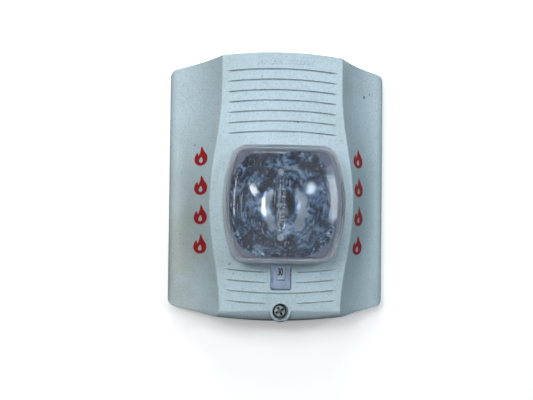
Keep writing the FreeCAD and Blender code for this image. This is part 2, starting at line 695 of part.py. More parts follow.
def choke_winding():
    """Round turns stacked on the core."""
    outer = CHOKE_RADIUS - 1.5
    first = BOARD_FACE + CHOKE_FLANGE + 0.6
    turns = [Part.makeTorus(outer, 0.45, point(CHOKE_X, first + 0.8 * index, CHOKE_Z),
                            FreeCAD.Vector(0, 1, 0)) for index in range(CHOKE_TURNS)]
    sleeve = ring_y(CHOKE_X, CHOKE_Z, outer, CHOKE_CORE_RADIUS + 0.1,
                    BOARD_FACE + CHOKE_FLANGE + 0.2, BOARD_FACE + CHOKE_HEIGHT - CHOKE_FLANGE - 0.2)
    return joined([sleeve] + turns)


def chip(x, z, width, height, legs):
    """A small integrated circuit on the board's front, with gull-wing legs on both sides."""
    pieces = [box(x - width / 2, x + width / 2, BOARD_FACE + 0.15, BOARD_FACE + 1.6,
                  z - height / 2, z + height / 2)]
    for index in range(legs):
        leg_z = z + height * ((index + 0.5) / legs - 0.5)
        pieces.append(box(x - width / 2 - 1, x + width / 2 + 1, BOARD_FACE, BOARD_FACE + 0.5,
                          leg_z - 0.2, leg_z + 0.2))
    return joined(pieces)


def integrated_circuits():
    return Part.makeCompound([chip(-33, 16, 5, 10, 7), chip(33, 18, 4, 5, 4), chip(-33, 34, 4, 5, 4)])


def board_components():
    """Two columns of chip resistors, four diodes and three small round capacitors."""
    pieces = []
    for x, low in ((-33.5, 41.0), (32.5, 33.0)):
        for index in range(5):
            z = low + 2.0 * index
            pieces.append(box(x - 1.5, x + 1.5, BOARD_FACE, BOARD_FACE + 0.6, z, z + 1.3))
    for x in (-22, -14, 14, 22):
        pieces.append(rod_x(BOARD_FACE + 1.4, -34.5, 1.2, x - 3, x + 3))
    for x, z in ((30.0, 26.0), (36.0, 26.0), (-36.0, 25.5)):
        pieces.append(rod_y(x, z, 2.5, BOARD_FACE, BOARD_FACE + 6))
    return Part.makeCompound(pieces)


def contact_pins():
    """Flat blades that stand back from the board and enter the terminals' clips."""
    blades = []
    for x in TERMINAL_X:
        blade = box(x - 0.4, x + 0.4, 6.6, BOARD_FACE, PIN_Z - 1.5, PIN_Z + 1.5)
        flange = box(x - 1.6, x + 1.6, BOARD_REAR - 0.8, BOARD_REAR, PIN_Z - 1.5, PIN_Z + 1.5)
        blades.append(blade.fuse(flange))
    return Part.makeCompound(blades)


# ---- horn ------------------------------------------------------------------------------
def horn_chamber():
    cup = rod_y(0, HORN_Z, HORN_RADIUS, HORN_REAR, HORN_FRONT)
    cup = cup.cut(rod_y(0, HORN_Z, HORN_RADIUS - HORN_WALL, HORN_REAR + HORN_WALL, HORN_FRONT + 1))
    ledge = ring_y(0, HORN_Z, HORN_RADIUS - HORN_WALL + 0.2, PIEZO_RADIUS - 1.5,
                   HORN_REAR + HORN_WALL, PIEZO_DEPTH)
    cap = rod_y(0, HORN_Z, HORN_RADIUS - 0.5, HORN_FRONT - 2, HORN_FRONT)
    cap = cap.cut(rod_y(0, HORN_Z, 7.0, HORN_FRONT - 4, HORN_FRONT + 1))
    return joined([cup.fuse(ledge), cap])


def piezo_plate():
    return rod_y(0, HORN_Z, PIEZO_RADIUS, PIEZO_DEPTH, PIEZO_DEPTH + 0.4)


def piezo_ceramic():
    return rod_y(0, HORN_Z, CERAMIC_RADIUS, PIEZO_DEPTH + 0.4, PIEZO_DEPTH + 0.7)


def horn_gasket():
    return ring_y(0, HORN_Z, HORN_RADIUS - 0.2, HORN_RADIUS - 2.2,
                  HORN_FRONT, HORN_FRONT + GASKET_THICK)


# ---- candela window and slide ----------------------------------------------------------
def candela_window():
    pane = box(-WINDOW_HALF_WIDTH, WINDOW_HALF_WIDTH, WINDOW_REAR, WINDOW_FRONT,
               WINDOW_BOTTOM, WINDOW_TOP)
    uprights = [edge for edge in pane.Edges if edge.BoundBox.YLength > 2]
    return pane.makeFillet(WINDOW_CORNER_RADIUS, uprights)


def window_mask():
    """The dark plate behind the pane, with an aperture for one value of the scale."""
    front = WINDOW_REAR - 0.1
    plate = box(-MASK_HALF_WIDTH, MASK_HALF_WIDTH, front - MASK_THICK, front,
                WINDOW_BOTTOM + 0.2, WINDOW_TOP - 0.4)
    half = SCALE_PITCH / 2 - 0.1
    return plate.cut(box(-half, half, 0, FAR, SCALE_Z - 4.0, SCALE_Z + 3.0))


def candela_slide():
    """The strip behind the window, a stem back through the switch, and its finger ribs."""
    middle = (SLIDE_LOW + SLIDE_HIGH) / 2
    rear = COVER_REAR + 0.4
    strip = box(SLIDE_LOW, SLIDE_HIGH, STRIP_DEPTH, STRIP_DEPTH + STRIP_THICK,
                SCALE_Z - STRIP_HALF_HEIGHT, SCALE_Z + STRIP_HALF_HEIGHT)
    stem = box(middle - STEM_HALF_WIDTH, middle + STEM_HALF_WIDTH, rear, STRIP_DEPTH,
               SCALE_Z - STEM_HALF_HEIGHT, SCALE_Z + STEM_HALF_HEIGHT)
    carriage = box(middle - 5, middle + 5, BASE_FRONT + 0.1, BASE_FRONT + 1.6,
                   SCALE_Z - 3.6, SCALE_Z + 3.6)
    reach = STEM_HALF_HEIGHT + 0.3
    ribs = [box(middle + offset - 0.3, middle + offset + 0.3, rear, rear + 0.6,
                SCALE_Z - reach, SCALE_Z + reach) for offset in (-1.5, 0, 1.5)]
    return joined([strip, stem, carriage] + ribs)


def candela_scale():
    """The printed label on the strip's face."""
    face = STRIP_DEPTH + STRIP_THICK
    half = STRIP_HALF_HEIGHT - 0.3
    return box(SLIDE_LOW + 0.5, SLIDE_HIGH - 0.5, face, face + 0.25, SCALE_Z - half, SCALE_Z + half)


def slide_slot(margin, d0, d1):
    """The space that the stem sweeps, in the switch base and in the rear cover."""
    middle = (SLIDE_LOW + SLIDE_HIGH) / 2
    x0 = middle - SCALE_ABOVE * SCALE_PITCH - STEM_HALF_WIDTH - margin
    x1 = middle + SCALE_BELOW * SCALE_PITCH + STEM_HALF_WIDTH + margin
    half = STEM_HALF_HEIGHT + margin
    return box(x0, x1, d0, d1, SCALE_Z - half, SCALE_Z + half)


def candela_switch_base():
    """The slotted switch body that guides the slide, below the board's lower edge."""
    block = box(-20, 20, BASE_FRONT - 3.5, BASE_FRONT, SCALE_Z - 4.6, SCALE_Z + 4.6)
    tabs = [box(x - 3, x + 3, BOARD_REAR - 2.5, BOARD_REAR, SCALE_Z + 4.6, BOARD_BOTTOM + 4)
            for x in (-16, 16)]
    return joined([block] + tabs).cut(slide_slot(0.5, 0, FAR))


# ---- tone switch -----------------------------------------------------------------------
def tone_switch_body():
    body = box(DIAL_X - SWITCH_HALF_WIDTH, DIAL_X + SWITCH_HALF_WIDTH, DIAL_REAR + 0.4, BOARD_REAR,
               DIAL_Z - SWITCH_HALF_WIDTH, DIAL_Z + SWITCH_HALF_WIDTH)
    return body.cut(rod_y(DIAL_X, DIAL_Z, DIAL_RADIUS + 0.05, DIAL_REAR - 1, DIAL_REAR + 3.4))


def tone_switch_rotor():
    """The rotor: a flat round face with a screwdriver slot whose one end is pointed."""
    rotor = rod_y(DIAL_X, DIAL_Z, DIAL_RADIUS, DIAL_REAR, DIAL_REAR + 3.3)
    rear = DIAL_REAR - 0.6
    floor = DIAL_REAR + 1.2
    slot = box(DIAL_X - 0.5, DIAL_X + 0.5, rear, floor, DIAL_Z - 2.4, DIAL_Z + 1.6)
    corners = [point(DIAL_X - 1.3, rear, DIAL_Z + 1.4), point(DIAL_X + 1.3, rear, DIAL_Z + 1.4),
               point(DIAL_X, rear, DIAL_Z + 2.9)]
    tip = Part.Face(Part.makePolygon(corners + corners[:1]))
    return rotor.cut(slot.fuse(tip.extrude(FreeCAD.Vector(0, rear - floor, 0))))


# ---- rear cover and captive screw ------------------------------------------------------
def rear_cover():
    """The cover behind the board, open over the terminals, the dial, the slide and the hinge."""
    front = COVER_REAR + COVER_THICK
    cover = outline_solid(WALL + 0.3, COVER_REAR, front)
    # the wing's corners come down close to the cover, so its sides are drawn in
    cover = cover.common(box(-COVER_HALF_WIDTH, COVER_HALF_WIDTH, 0, FAR, -FAR, FAR))
    rim_x = COVER_HALF_WIDTH - 3.5
    rim = outline_solid(WALL + 1.5, front - 0.1, front + 2).common(box(-rim_x, rim_x, 0, FAR, -FAR, FAR))
    cover = cover.fuse(rim.cut(box(-rim_x + 1.6, rim_x - 1.6, 0, FAR, -58, 58)))
    block_x = BLOCK_HALF_WIDTH + 2
    cover = cover.cut(box(-block_x, block_x, 0, FAR, BLOCK_BOTTOM - 2, BLOCK_TOP + 2.5))
    cover = cover.cut(rod_y(DIAL_X, DIAL_Z, DIAL_RADIUS + 1.2, 0, FAR))
    cover = cover.cut(slide_slot(0.7, 0, FAR))
    cover = cover.cut(box(-9, 9, 0, FAR, -FAR, SCREW_Z + 7.6))
    ear_x = EAR_OUTER + 1.2
    for x in (-HOOK_X, HOOK_X):
        cover = cover.cut(box(x - ear_x, x + ear_x, 0, FAR, HINGE_Z - 6, FAR))
    for x, z in COVER_SCREWS:
        cover = cover.cut(rod_y(x, z, 1.7, 0, FAR)).cut(rod_y(x, z, 3.5, front, FAR))
    return cover.removeSplitter()


def cross_recess(x, z, depth, reach, width, sink):
    """A cross cut into a screw head from the side given by the sign of sink."""
    d0 = min(depth, depth + sink)
    d1 = max(depth, depth + sink)
    flat = box(x - reach, x + reach, d0, d1, z - width / 2, z + width / 2)
    return flat.fuse(box(x - width / 2, x + width / 2, d0, d1, z - reach, z + reach))


def cover_screws():
    screws = []
    for x, z in COVER_SCREWS:
        head = rod_y(x, z, 2.6, COVER_REAR - 1.7, COVER_REAR)
        head = head.cut(cross_recess(x, z, COVER_REAR - 1.8, 1.5, 0.6, 1.2))
        screws.append(head.fuse(rod_y(x, z, 1.2, COVER_REAR, COVER_REAR + 6)))
    return Part.makeCompound(screws)


def mounting_screw():
    """A long captive screw with a domed head and a cross recess."""
    under = SCREW_HEAD_TOP - SCREW_HEAD_THICK
    head = rod_y(0, SCREW_Z, SCREW_HEAD_RADIUS, under, SCREW_HEAD_TOP)
    rim = [edge for edge in head.Edges
           if edge.Closed and abs(edge.BoundBox.YMin + SCREW_HEAD_TOP) < 0.01]
    head = head.makeFillet(1.2, rim)
    head = head.cut(cross_recess(0, SCREW_Z, SCREW_HEAD_TOP + 0.1, 2.0, 0.9, -1.6))
    return head.fuse(rod_y(0, SCREW_Z, SCREW_RADIUS, SCREW_TIP, under))


def screw_retainer():
    """The washer pressed on the shank, which keeps the screw in the head."""
    return ring_y(0, SCREW_Z, RETAINER_RADIUS, SCREW_RADIUS + 0.05,
                  RETAINER_DEPTH, RETAINER_DEPTH + RETAINER_THICK)


# ---- mounting plate --------------------------------------------------------------------
def mounting_plate():
    """The plate with its box holes and wire opening, two hinge bars, a screw post and ribs."""
    plate = outline_solid(PLATE_INSET, 0, PLATE_THICK)
    plate = plate.cut(box(-WIRE_HALF_WIDTH, WIRE_HALF_WIDTH, -1, FAR, WIRE_BOTTOM, WIRE_TOP))
    for z in (-GANG_SPACING_Z / 2, GANG_SPACING_Z / 2):
        for x in (-GANG_SPACING_X / 2, 0, GANG_SPACING_X / 2):
            plate = plate.cut(rod_y(x, z, BOX_HOLE_RADIUS, -1, FAR))
    for x in (-OCTAGON_SPACING / 2, OCTAGON_SPACING / 2):
        plate = plate.cut(rod_y(x, 0, BOX_HOLE_RADIUS, -1, FAR))
    for x in (-HOOK_X, HOOK_X):
        plate = plate.cut(box(x - EAR_INNER, x + EAR_INNER, -1, FAR, HINGE_Z - 6.5, FAR))
        plate = plate.fuse(rod_x(HINGE_DEPTH, HINGE_Z, HINGE_BAR_RADIUS, x - EAR_OUTER, x + EAR_OUTER))
        for ear_x in (x - EAR_OUTER, x + EAR_INNER):
            plate = plate.fuse(box(ear_x, ear_x + EAR_OUTER - EAR_INNER, 1, HINGE_DEPTH + HINGE_BAR_RADIUS,
                                   HINGE_Z - 2.5, HINGE_Z + EAR_RISE))
    post = box(-POST_HALF_WIDTH, POST_HALF_WIDTH, 0, INSERT_FRONT, SCREW_Z - 2.8, SCREW_Z + 4.5)
    plate = plate.fuse(post)
    plate = plate.cut(rod_y(0, SCREW_Z, INSERT_RADIUS, INSERT_REAR, INSERT_FRONT + 1))
    # stiffening ribs on the front face
    for x in (-RIB_X, RIB_X):
        plate = plate.fuse(box(x - 0.8, x + 0.8, PLATE_THICK - 0.5, PLATE_THICK + 1.2, -30, 30))
    return plate.removeSplitter()


def screw_insert():
    """The brass insert that the captive screw runs into."""
    tube = rod_y(0, SCREW_Z, INSERT_RADIUS - 0.01, INSERT_REAR, INSERT_FRONT)
    return tube.cut(rod_y(0, SCREW_Z, SCREW_RADIUS + 0.2, INSERT_REAR + 0.9, INSERT_FRONT + 1))


def terminal_block():
    """The block with a pocket for each screw and a smaller one for each contact."""
    block = box(-BLOCK_HALF_WIDTH, BLOCK_HALF_WIDTH, PLATE_THICK, BLOCK_FRONT, BLOCK_BOTTOM, BLOCK_TOP)
    for x in TERMINAL_X:
        block = block.cut(box(x - 3.2, x + 3.2, CLIP_DEPTH, FAR, PIN_Z - 3.0, PIN_Z + 3.0))
        block = block.cut(box(x - 4.6, x + 4.6, CLIP_DEPTH, FAR, BLOCK_BOTTOM - 1, TERMINAL_SCREW_Z + 4.6))
        block = block.cut(box(x - 2.6, x + 2.6, CLIP_DEPTH, CLIP_DEPTH + 1.0, BLOCK_BOTTOM + 1, PIN_Z + 3))
        block = block.cut(rod_y(x, TERMINAL_SCREW_Z, TERMINAL_SCREW_HOLE, PLATE_THICK + 0.5, FAR))
    return block


def terminal_clips():
    """Strips from each screw to a pair of leaves that grip the head's contact pin."""
    clips = []
    for x in TERMINAL_X:
        strip = box(x - 2.5, x + 2.5, CLIP_DEPTH + 0.05, CLIP_DEPTH + 0.85,
                    TERMINAL_SCREW_Z - 4, PIN_Z + 2.8)
        leaves = [box(x + side * 0.9 - 0.4, x + side * 0.9 + 0.4, CLIP_DEPTH + 0.5, CLIP_DEPTH + 5.5,
                      PIN_Z - 2, PIN_Z + 2) for side in (-1, 1)]
        clip = joined([strip] + leaves)
        clips.append(clip.cut(rod_y(x, TERMINAL_SCREW_Z, TERMINAL_SCREW_HOLE, 0, FAR)))
    return Part.makeCompound(clips)


def terminal_washers():
    """Square clamping washers, one under each screw head."""
    half = 3.8
    washers = []
    for x in TERMINAL_X:
        plate = box(x - half, x + half, WASHER_DEPTH, WASHER_DEPTH + 0.8,
                    TERMINAL_SCREW_Z - half, TERMINAL_SCREW_Z + half)
        washers.append(plate.cut(rod_y(x, TERMINAL_SCREW_Z, TERMINAL_SCREW_HOLE, 0, FAR)))
    return Part.makeCompound(washers)


def terminal_screws():
    """Four slotted screws."""
    under = WASHER_DEPTH + 0.8
    top = under + 2.2
    screws = []
    for x in TERMINAL_X:
        head = rod_y(x, TERMINAL_SCREW_Z, 3.2, under, top)
        slot = box(x - 3.5, x + 3.5, top - 1.0, FAR, TERMINAL_SCREW_Z - 0.5, TERMINAL_SCREW_Z + 0.5)
        head = head.cut(slot)
        shank = rod_y(x, TERMINAL_SCREW_Z, TERMINAL_SCREW_HOLE - 0.1, PLATE_THICK + 0.8, under)
        screws.append(head.fuse(shank))
    return Part.makeCompound(screws)


def shorting_spring():
    """A spring strip across the top of the block, whose ends reach over its front."""
    thick = 0.4
    rear = BLOCK_TOP + 0.02
    top = box(-7.5, 7.5, 6.0, BLOCK_FRONT + 0.5, rear, rear + thick)
    face = BLOCK_FRONT + 0.02
    ends = [box(x - 1.5, x + 1.5, face, face + thick, BLOCK_TOP - 1.2, rear + thick) for x in (-6, 6)]
    return joined([top] + ends)


# ---- write every piece -----------------------------------------------------------------
PIECES = [
    mounting_plate, terminal_block, terminal_clips, terminal_washers, terminal_screws,
    shorting_spring, screw_insert,
    front_housing, strobe_lens, lens_gasket, reflector, flash_tube, tube_leads, tube_grommets,
    trigger_wire, main_board, board_screws, flash_capacitor, trigger_transformer, choke_core,
    choke_winding, integrated_circuits, board_components, contact_pins, horn_chamber, piezo_plate,
    piezo_ceramic, horn_gasket, candela_window, window_mask, candela_switch_base, tone_switch_body,
    rear_cover, cover_screws, candela_slide, candela_scale, tone_switch_rotor, mounting_screw,
    screw_retainer]

os.makedirs("parts", exist_ok=True)
for piece in PIECES:
    save(piece.__name__, piece())
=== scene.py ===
import json
import math

import bmesh
import bpy
import numpy as np
from mathutils import Matrix, Vector


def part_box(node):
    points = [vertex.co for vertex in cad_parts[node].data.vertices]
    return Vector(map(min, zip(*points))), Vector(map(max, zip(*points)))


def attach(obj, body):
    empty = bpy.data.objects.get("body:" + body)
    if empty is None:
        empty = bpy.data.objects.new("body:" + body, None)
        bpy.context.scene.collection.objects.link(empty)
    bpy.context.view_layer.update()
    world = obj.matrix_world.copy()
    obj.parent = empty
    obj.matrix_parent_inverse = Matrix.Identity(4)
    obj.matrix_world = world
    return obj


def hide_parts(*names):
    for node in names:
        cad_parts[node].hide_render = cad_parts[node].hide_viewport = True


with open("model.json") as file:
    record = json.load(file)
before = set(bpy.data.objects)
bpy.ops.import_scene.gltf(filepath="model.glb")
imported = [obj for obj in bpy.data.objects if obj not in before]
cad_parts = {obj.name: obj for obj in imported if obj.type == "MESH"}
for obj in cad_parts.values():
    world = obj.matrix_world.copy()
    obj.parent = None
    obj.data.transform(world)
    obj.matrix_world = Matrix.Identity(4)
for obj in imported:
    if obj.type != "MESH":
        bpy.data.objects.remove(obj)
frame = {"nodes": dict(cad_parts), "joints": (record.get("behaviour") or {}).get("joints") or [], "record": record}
scene = bpy.context.scene
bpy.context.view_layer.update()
nodes = frame["nodes"]

# Lengths are in millimetres here and are scaled once, where a mesh is made.
# "Depth" is the distance in front of the wall: the front faces -Y, so y = -depth.
MM = 0.001
WELD = 1e-6              # metres


def node_box(name):
    """Lowest and highest corner of a CAD node, in millimetres."""
    low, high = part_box(name)
    return low / MM, high / MM


# ---- sizes, from the frame where it has them ----
housing_high = node_box("front_housing")[1]
lens_low, lens_high = node_box("strobe_lens")
window_low, window_high = node_box("candela_window")
screw_low, screw_high = node_box("mounting_screw")
reflector_low, reflector_high = node_box("reflector")
scale_low = node_box("candela_scale")[0]

HALF_WIDTH = housing_high.x
HALF_HEIGHT = housing_high.z
EDGE_RADIUS = 257.0
CORNER_RADIUS = 3.0
WALL = 2.2
REAR_GAP = 0.5
TOP_RIM_RELIEF = 2.0

PANEL_HALF_WIDTH = 32.0
PANEL_FLARE = 5.9
FLARE_Z = -9.0
FLARE_UP = 61.0
FLARE_DOWN = 57.0
PANEL_EDGE_DEPTH = 33.5
PANEL_TILT = 0.7
PANEL_EDGE_SWELL = 2.4
PANEL_SAG = 1.7
CORNER_DEPTH = 7.0
WING_START = (55.5, 11.6)
EDGE_ROUND = 0.8
CURL_WIDTH = 6.0
CURL_SLOPE = 0.62
CURL_ROUND = 2.6

GROOVE_PITCH = 5.5
UPPER_GROOVES = [62.2 - GROOVE_PITCH * index for index in range(7)]
LOWER_GROOVES = [-44.9 - GROOVE_PITCH * index for index in range(4)]
GROOVE_HALF_LENGTH = 28.6
GROOVE_SPLIT = 8.5
GROOVE_WIDTH = 0.55
GROOVE_SINK = 0.42
SLAT_RISE = 0.55

LENS_Z = (reflector_low.z + reflector_high.z) / 2
LENS_FRONT = -lens_low.y
LENS_REAR = -lens_high.y
SCREW_Z = (screw_low.z + screw_high.z) / 2
COUNTERBORE_RADIUS = 4.15
BOSS_RADIUS = 5.5
BOSS_FRONT = 34.9
BOSS_REAR = 24.0
SCREW_HOLE_RADIUS = 2.15

# the lens: its outline, the same as in the CAD model, and its skin
LENS_CORNER_RADIUS = 7.5
LENS_TOP_HALF_WIDTH = 27.0
LENS_HALF_HEIGHT = 30.0
LENS_HALF_WIDTH = 30.8
LENS_SIDE_LEAN = 12.0    # of the side where it meets the corner, in degrees
LENS_WALL = 1.8
LENS_FLANGE = 1.5
LENS_SHOULDER = 5.0
DOME_RADIUS = 80.0
MILKY_BEHIND = 9.5       # the milky side wall starts this far behind the front

# the reflector
DISH_BACK = 20.0
DISH_FLOOR_RADIUS = 4.0
DISH_RIM_RADIUS = 27.4
DISH_WALL = 0.8
LEAD_Z = 17.5            # of the flash tube's leads, above and below the lens's middle
GLINT_MIDDLE = 3.0       # x of the middle of the dish's bright crescents, which are painted reflections


# ---- mesh helpers ----
def mesh_from(name, points, faces):
    """A mesh from points in millimetres as (x, depth, z)."""
    mesh = bpy.data.meshes.new(name)
    mesh.from_pydata([(x * MM, -depth * MM, z * MM) for x, depth, z in points], [], faces)
    return mesh


def face_outwards(mesh, weld=0.0):
    """Turns a mesh's faces outwards, after welding points that are closer than a distance."""
    work = bmesh.new()
    work.from_mesh(mesh)
    if weld:
        bmesh.ops.remove_doubles(work, verts=work.verts, dist=weld)
    bmesh.ops.recalc_face_normals(work, faces=work.faces)
    work.to_mesh(mesh)
    work.free()


def link(name, data):
    item = bpy.data.objects.new(name, data)
    scene.collection.objects.link(item)
    return item


def make_object(name, points, faces, body, material, sharp=32):
    """A mesh object from points in millimetres as (x, depth, z), riding on a CAD body."""
    return finish_object(name, mesh_from(name, points, faces), body, material, sharp)


def finish_object(name, mesh, body, material, sharp=32):
    """Cleans a mesh, gives it its material and links it as a piece riding on a CAD body."""
    face_outwards(mesh, WELD)
    shade(mesh, sharp)
    mesh.materials.append(material)
    piece = link(name, mesh)
    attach(piece, body)
    return piece


def shade(mesh, sharp):
    """Smooth shading, broken at edges sharper than the angle in degrees."""
    for polygon in mesh.polygons:
        polygon.use_smooth = True
    mesh.set_sharp_from_angle(angle=math.radians(sharp))


def apply_modifiers(piece, sharp=32):
    """Replaces a piece's mesh by what its modifiers make of it."""
    graph = bpy.context.evaluated_depsgraph_get()
    mesh = bpy.data.meshes.new_from_object(piece.evaluated_get(graph))
    piece.modifiers.clear()
    piece.data = mesh
    shade(mesh, sharp)


def cut(piece, cutters, sharp=32):
    """Cuts the cutters out of a piece and throws them away."""
    for cutter in cutters:
        modifier = piece.modifiers.new("cut", "BOOLEAN")
        modifier.operation = "DIFFERENCE"
        modifier.solver = "EXACT"
        modifier.object = cutter
    apply_modifiers(piece, sharp)
    for cutter in cutters:
        bpy.data.objects.remove(cutter)


def plain_mesh(name, points, faces):
    """A helper object for cutting, with no material and no body."""
    mesh = mesh_from(name, points, faces)
    face_outwards(mesh)
    return link(name, mesh)


def prism(name, outline, depth0, depth1):
    """A cutter: an outline of (x, z) points run between two depths."""
    count = len(outline)
    points = [(x, depth0, z) for x, z in outline] + [(x, depth1, z) for x, z in outline]
    faces = [list(range(count)), list(range(2 * count - 1, count - 1, -1))]
    for index in range(count):
        after = (index + 1) % count
        faces.append([index, after, after + count, index + count])
    return plain_mesh(name, points, faces)


def circle(x, z, radius, count=48):
    return [(x + radius * math.cos(2 * math.pi * k / count), z + radius * math.sin(2 * math.pi * k / count))
            for k in range(count)]


def ring_faces(rings, count, closed=False):
    """Quads between rings of points that are stored one after the other."""
    faces = []
    last = rings if closed else rings - 1
    for ring in range(last):
        here = ring * count
        there = ((ring + 1) % rings) * count
        for index in range(count):
            after = (index + 1) % count
            faces.append([here + index, here + after, there + after, there + index])
    return faces


def lathe(name, profile, x, z, body, material, count=64, closed=False, sharp=32):
    """Turns (radius, depth) points about a line along Y through (x, z)."""
    points = []
    for radius, depth in profile:
        for k in range(count):
            angle = 2 * math.pi * k / count
            points.append((x + radius * math.cos(angle), depth, z + radius * math.sin(angle)))
    return make_object(name, points, ring_faces(len(profile), count, closed), body, material, sharp)


def smoothstep(low, high, value):
    along = np.clip((np.asarray(value, float) - low) / (high - low), 0, 1)
    return along * along * (3 - 2 * along)


# ---- material helpers ----
class Graph:
    """A material's node graph with short ways to add and join nodes."""

    def __init__(self, name):
        self.material = bpy.data.materials.new(name)
        self.material.use_nodes = True
        self.tree = self.material.node_tree
        self.tree.nodes.clear()
        self.output = self.tree.nodes.new("ShaderNodeOutputMaterial")
        self.place = self.tree.nodes.new("ShaderNodeTexCoord").outputs["Object"]

    def add(self, kind, settings=None, **inputs):
        node = self.tree.nodes.new(kind)
        for key, value in (settings or {}).items():
            setattr(node, key, value)
        for key, value in inputs.items():
            self.feed(node.inputs[key.replace("_", " ")], value)
        return node

    def feed(self, socket, value):
        if isinstance(value, bpy.types.NodeSocket):
            self.tree.links.new(value, socket)
        elif isinstance(value, bpy.types.Node):
            self.tree.links.new(value.outputs[0], socket)
        else:
            socket.default_value = value

    def noise(self, scale, detail=4.0, roughness=0.55, distortion=0.0, vector=None):
        node = self.add("ShaderNodeTexNoise", Scale=scale, Detail=detail, Roughness=roughness,
                        Distortion=distortion)
        self.feed(node.inputs["Vector"], vector or self.place)
        return node.outputs["Fac"]

    def ramp(self, value, stops):
        """Maps a number through (position, colour) stops."""
        node = self.add("ShaderNodeValToRGB", Fac=value)
        points = node.color_ramp.elements
        while len(points) < len(stops):
            points.new(0.5)
        for point, (position, colour) in zip(points, stops):
            point.position = position
            point.color = colour if len(colour) == 4 else (*colour, 1)
        return node.outputs["Color"]

    def step(self, value, low, high, to_low=0.0, to_high=1.0):
        node = self.add("ShaderNodeMapRange", {"interpolation_type": "SMOOTHSTEP"}, Value=value)
        for key, number in (("From Min", low), ("From Max", high), ("To Min", to_low), ("To Max", to_high)):
            node.inputs[key].default_value = number
        return node.outputs["Result"]

    def math(self, operation, a, b=None):
        node = self.add("ShaderNodeMath", {"operation": operation})
        self.feed(node.inputs[0], a)
        if b is not None:
            self.feed(node.inputs[1], b)
        return node.outputs[0]

    def times(self, a, b):
        return self.math("MULTIPLY", a, b)

    def plus(self, a, b):
        return self.math("ADD", a, b)

    def minus(self, a, b):
        return self.math("SUBTRACT", a, b)

    def mix(self, factor, a, b):
        node = self.add("ShaderNodeMix", {"data_type": "RGBA"})
        self.feed(node.inputs[0], factor)
        for socket, value in ((node.inputs[6], a), (node.inputs[7], b)):
            if isinstance(value, (tuple, list)):
                value = (*value, 1) if len(value) == 3 else value
            self.feed(socket, value)
        return node.outputs[2]

    def stretched(self, x=1.0, y=1.0, z=1.0, turn=(0, 0, 0)):
        node = self.add("ShaderNodeMapping", Vector=self.place)
        node.inputs["Scale"].default_value = (x, y, z)
        node.inputs["Rotation"].default_value = turn
        return node.outputs[0]

    def axis(self, name):
        node = self.add("ShaderNodeSeparateXYZ", Vector=self.place)
        return node.outputs[name]

    def bump(self, height, distance, strength=1.0, under=None):
        node = self.add("ShaderNodeBump", Height=height, Distance=distance, Strength=strength)
        if under is not None:
            self.feed(node.inputs["Normal"], under)
        return node.outputs[0]

    def cavity(self, reach):
        """Near 0 in corners and grooves, near 1 in the open."""
        node = self.add("ShaderNodeAmbientOcclusion", {"samples": 4}, Distance=reach)
        return node.outputs["AO"]

    def surface(self, **inputs):
        shader = self.add("ShaderNodeBsdfPrincipled")
        for key, value in inputs.items():
            if isinstance(value, tuple) and len(value) == 3 and "Color" in key:
                value = (*value, 1)
            self.feed(shader.inputs[key.replace("_", " ")], value)
        self.tree.links.new(shader.outputs[0], self.output.inputs["Surface"])
        return self.material


def darker(colour, share):
    return tuple(channel * share for channel in colour)


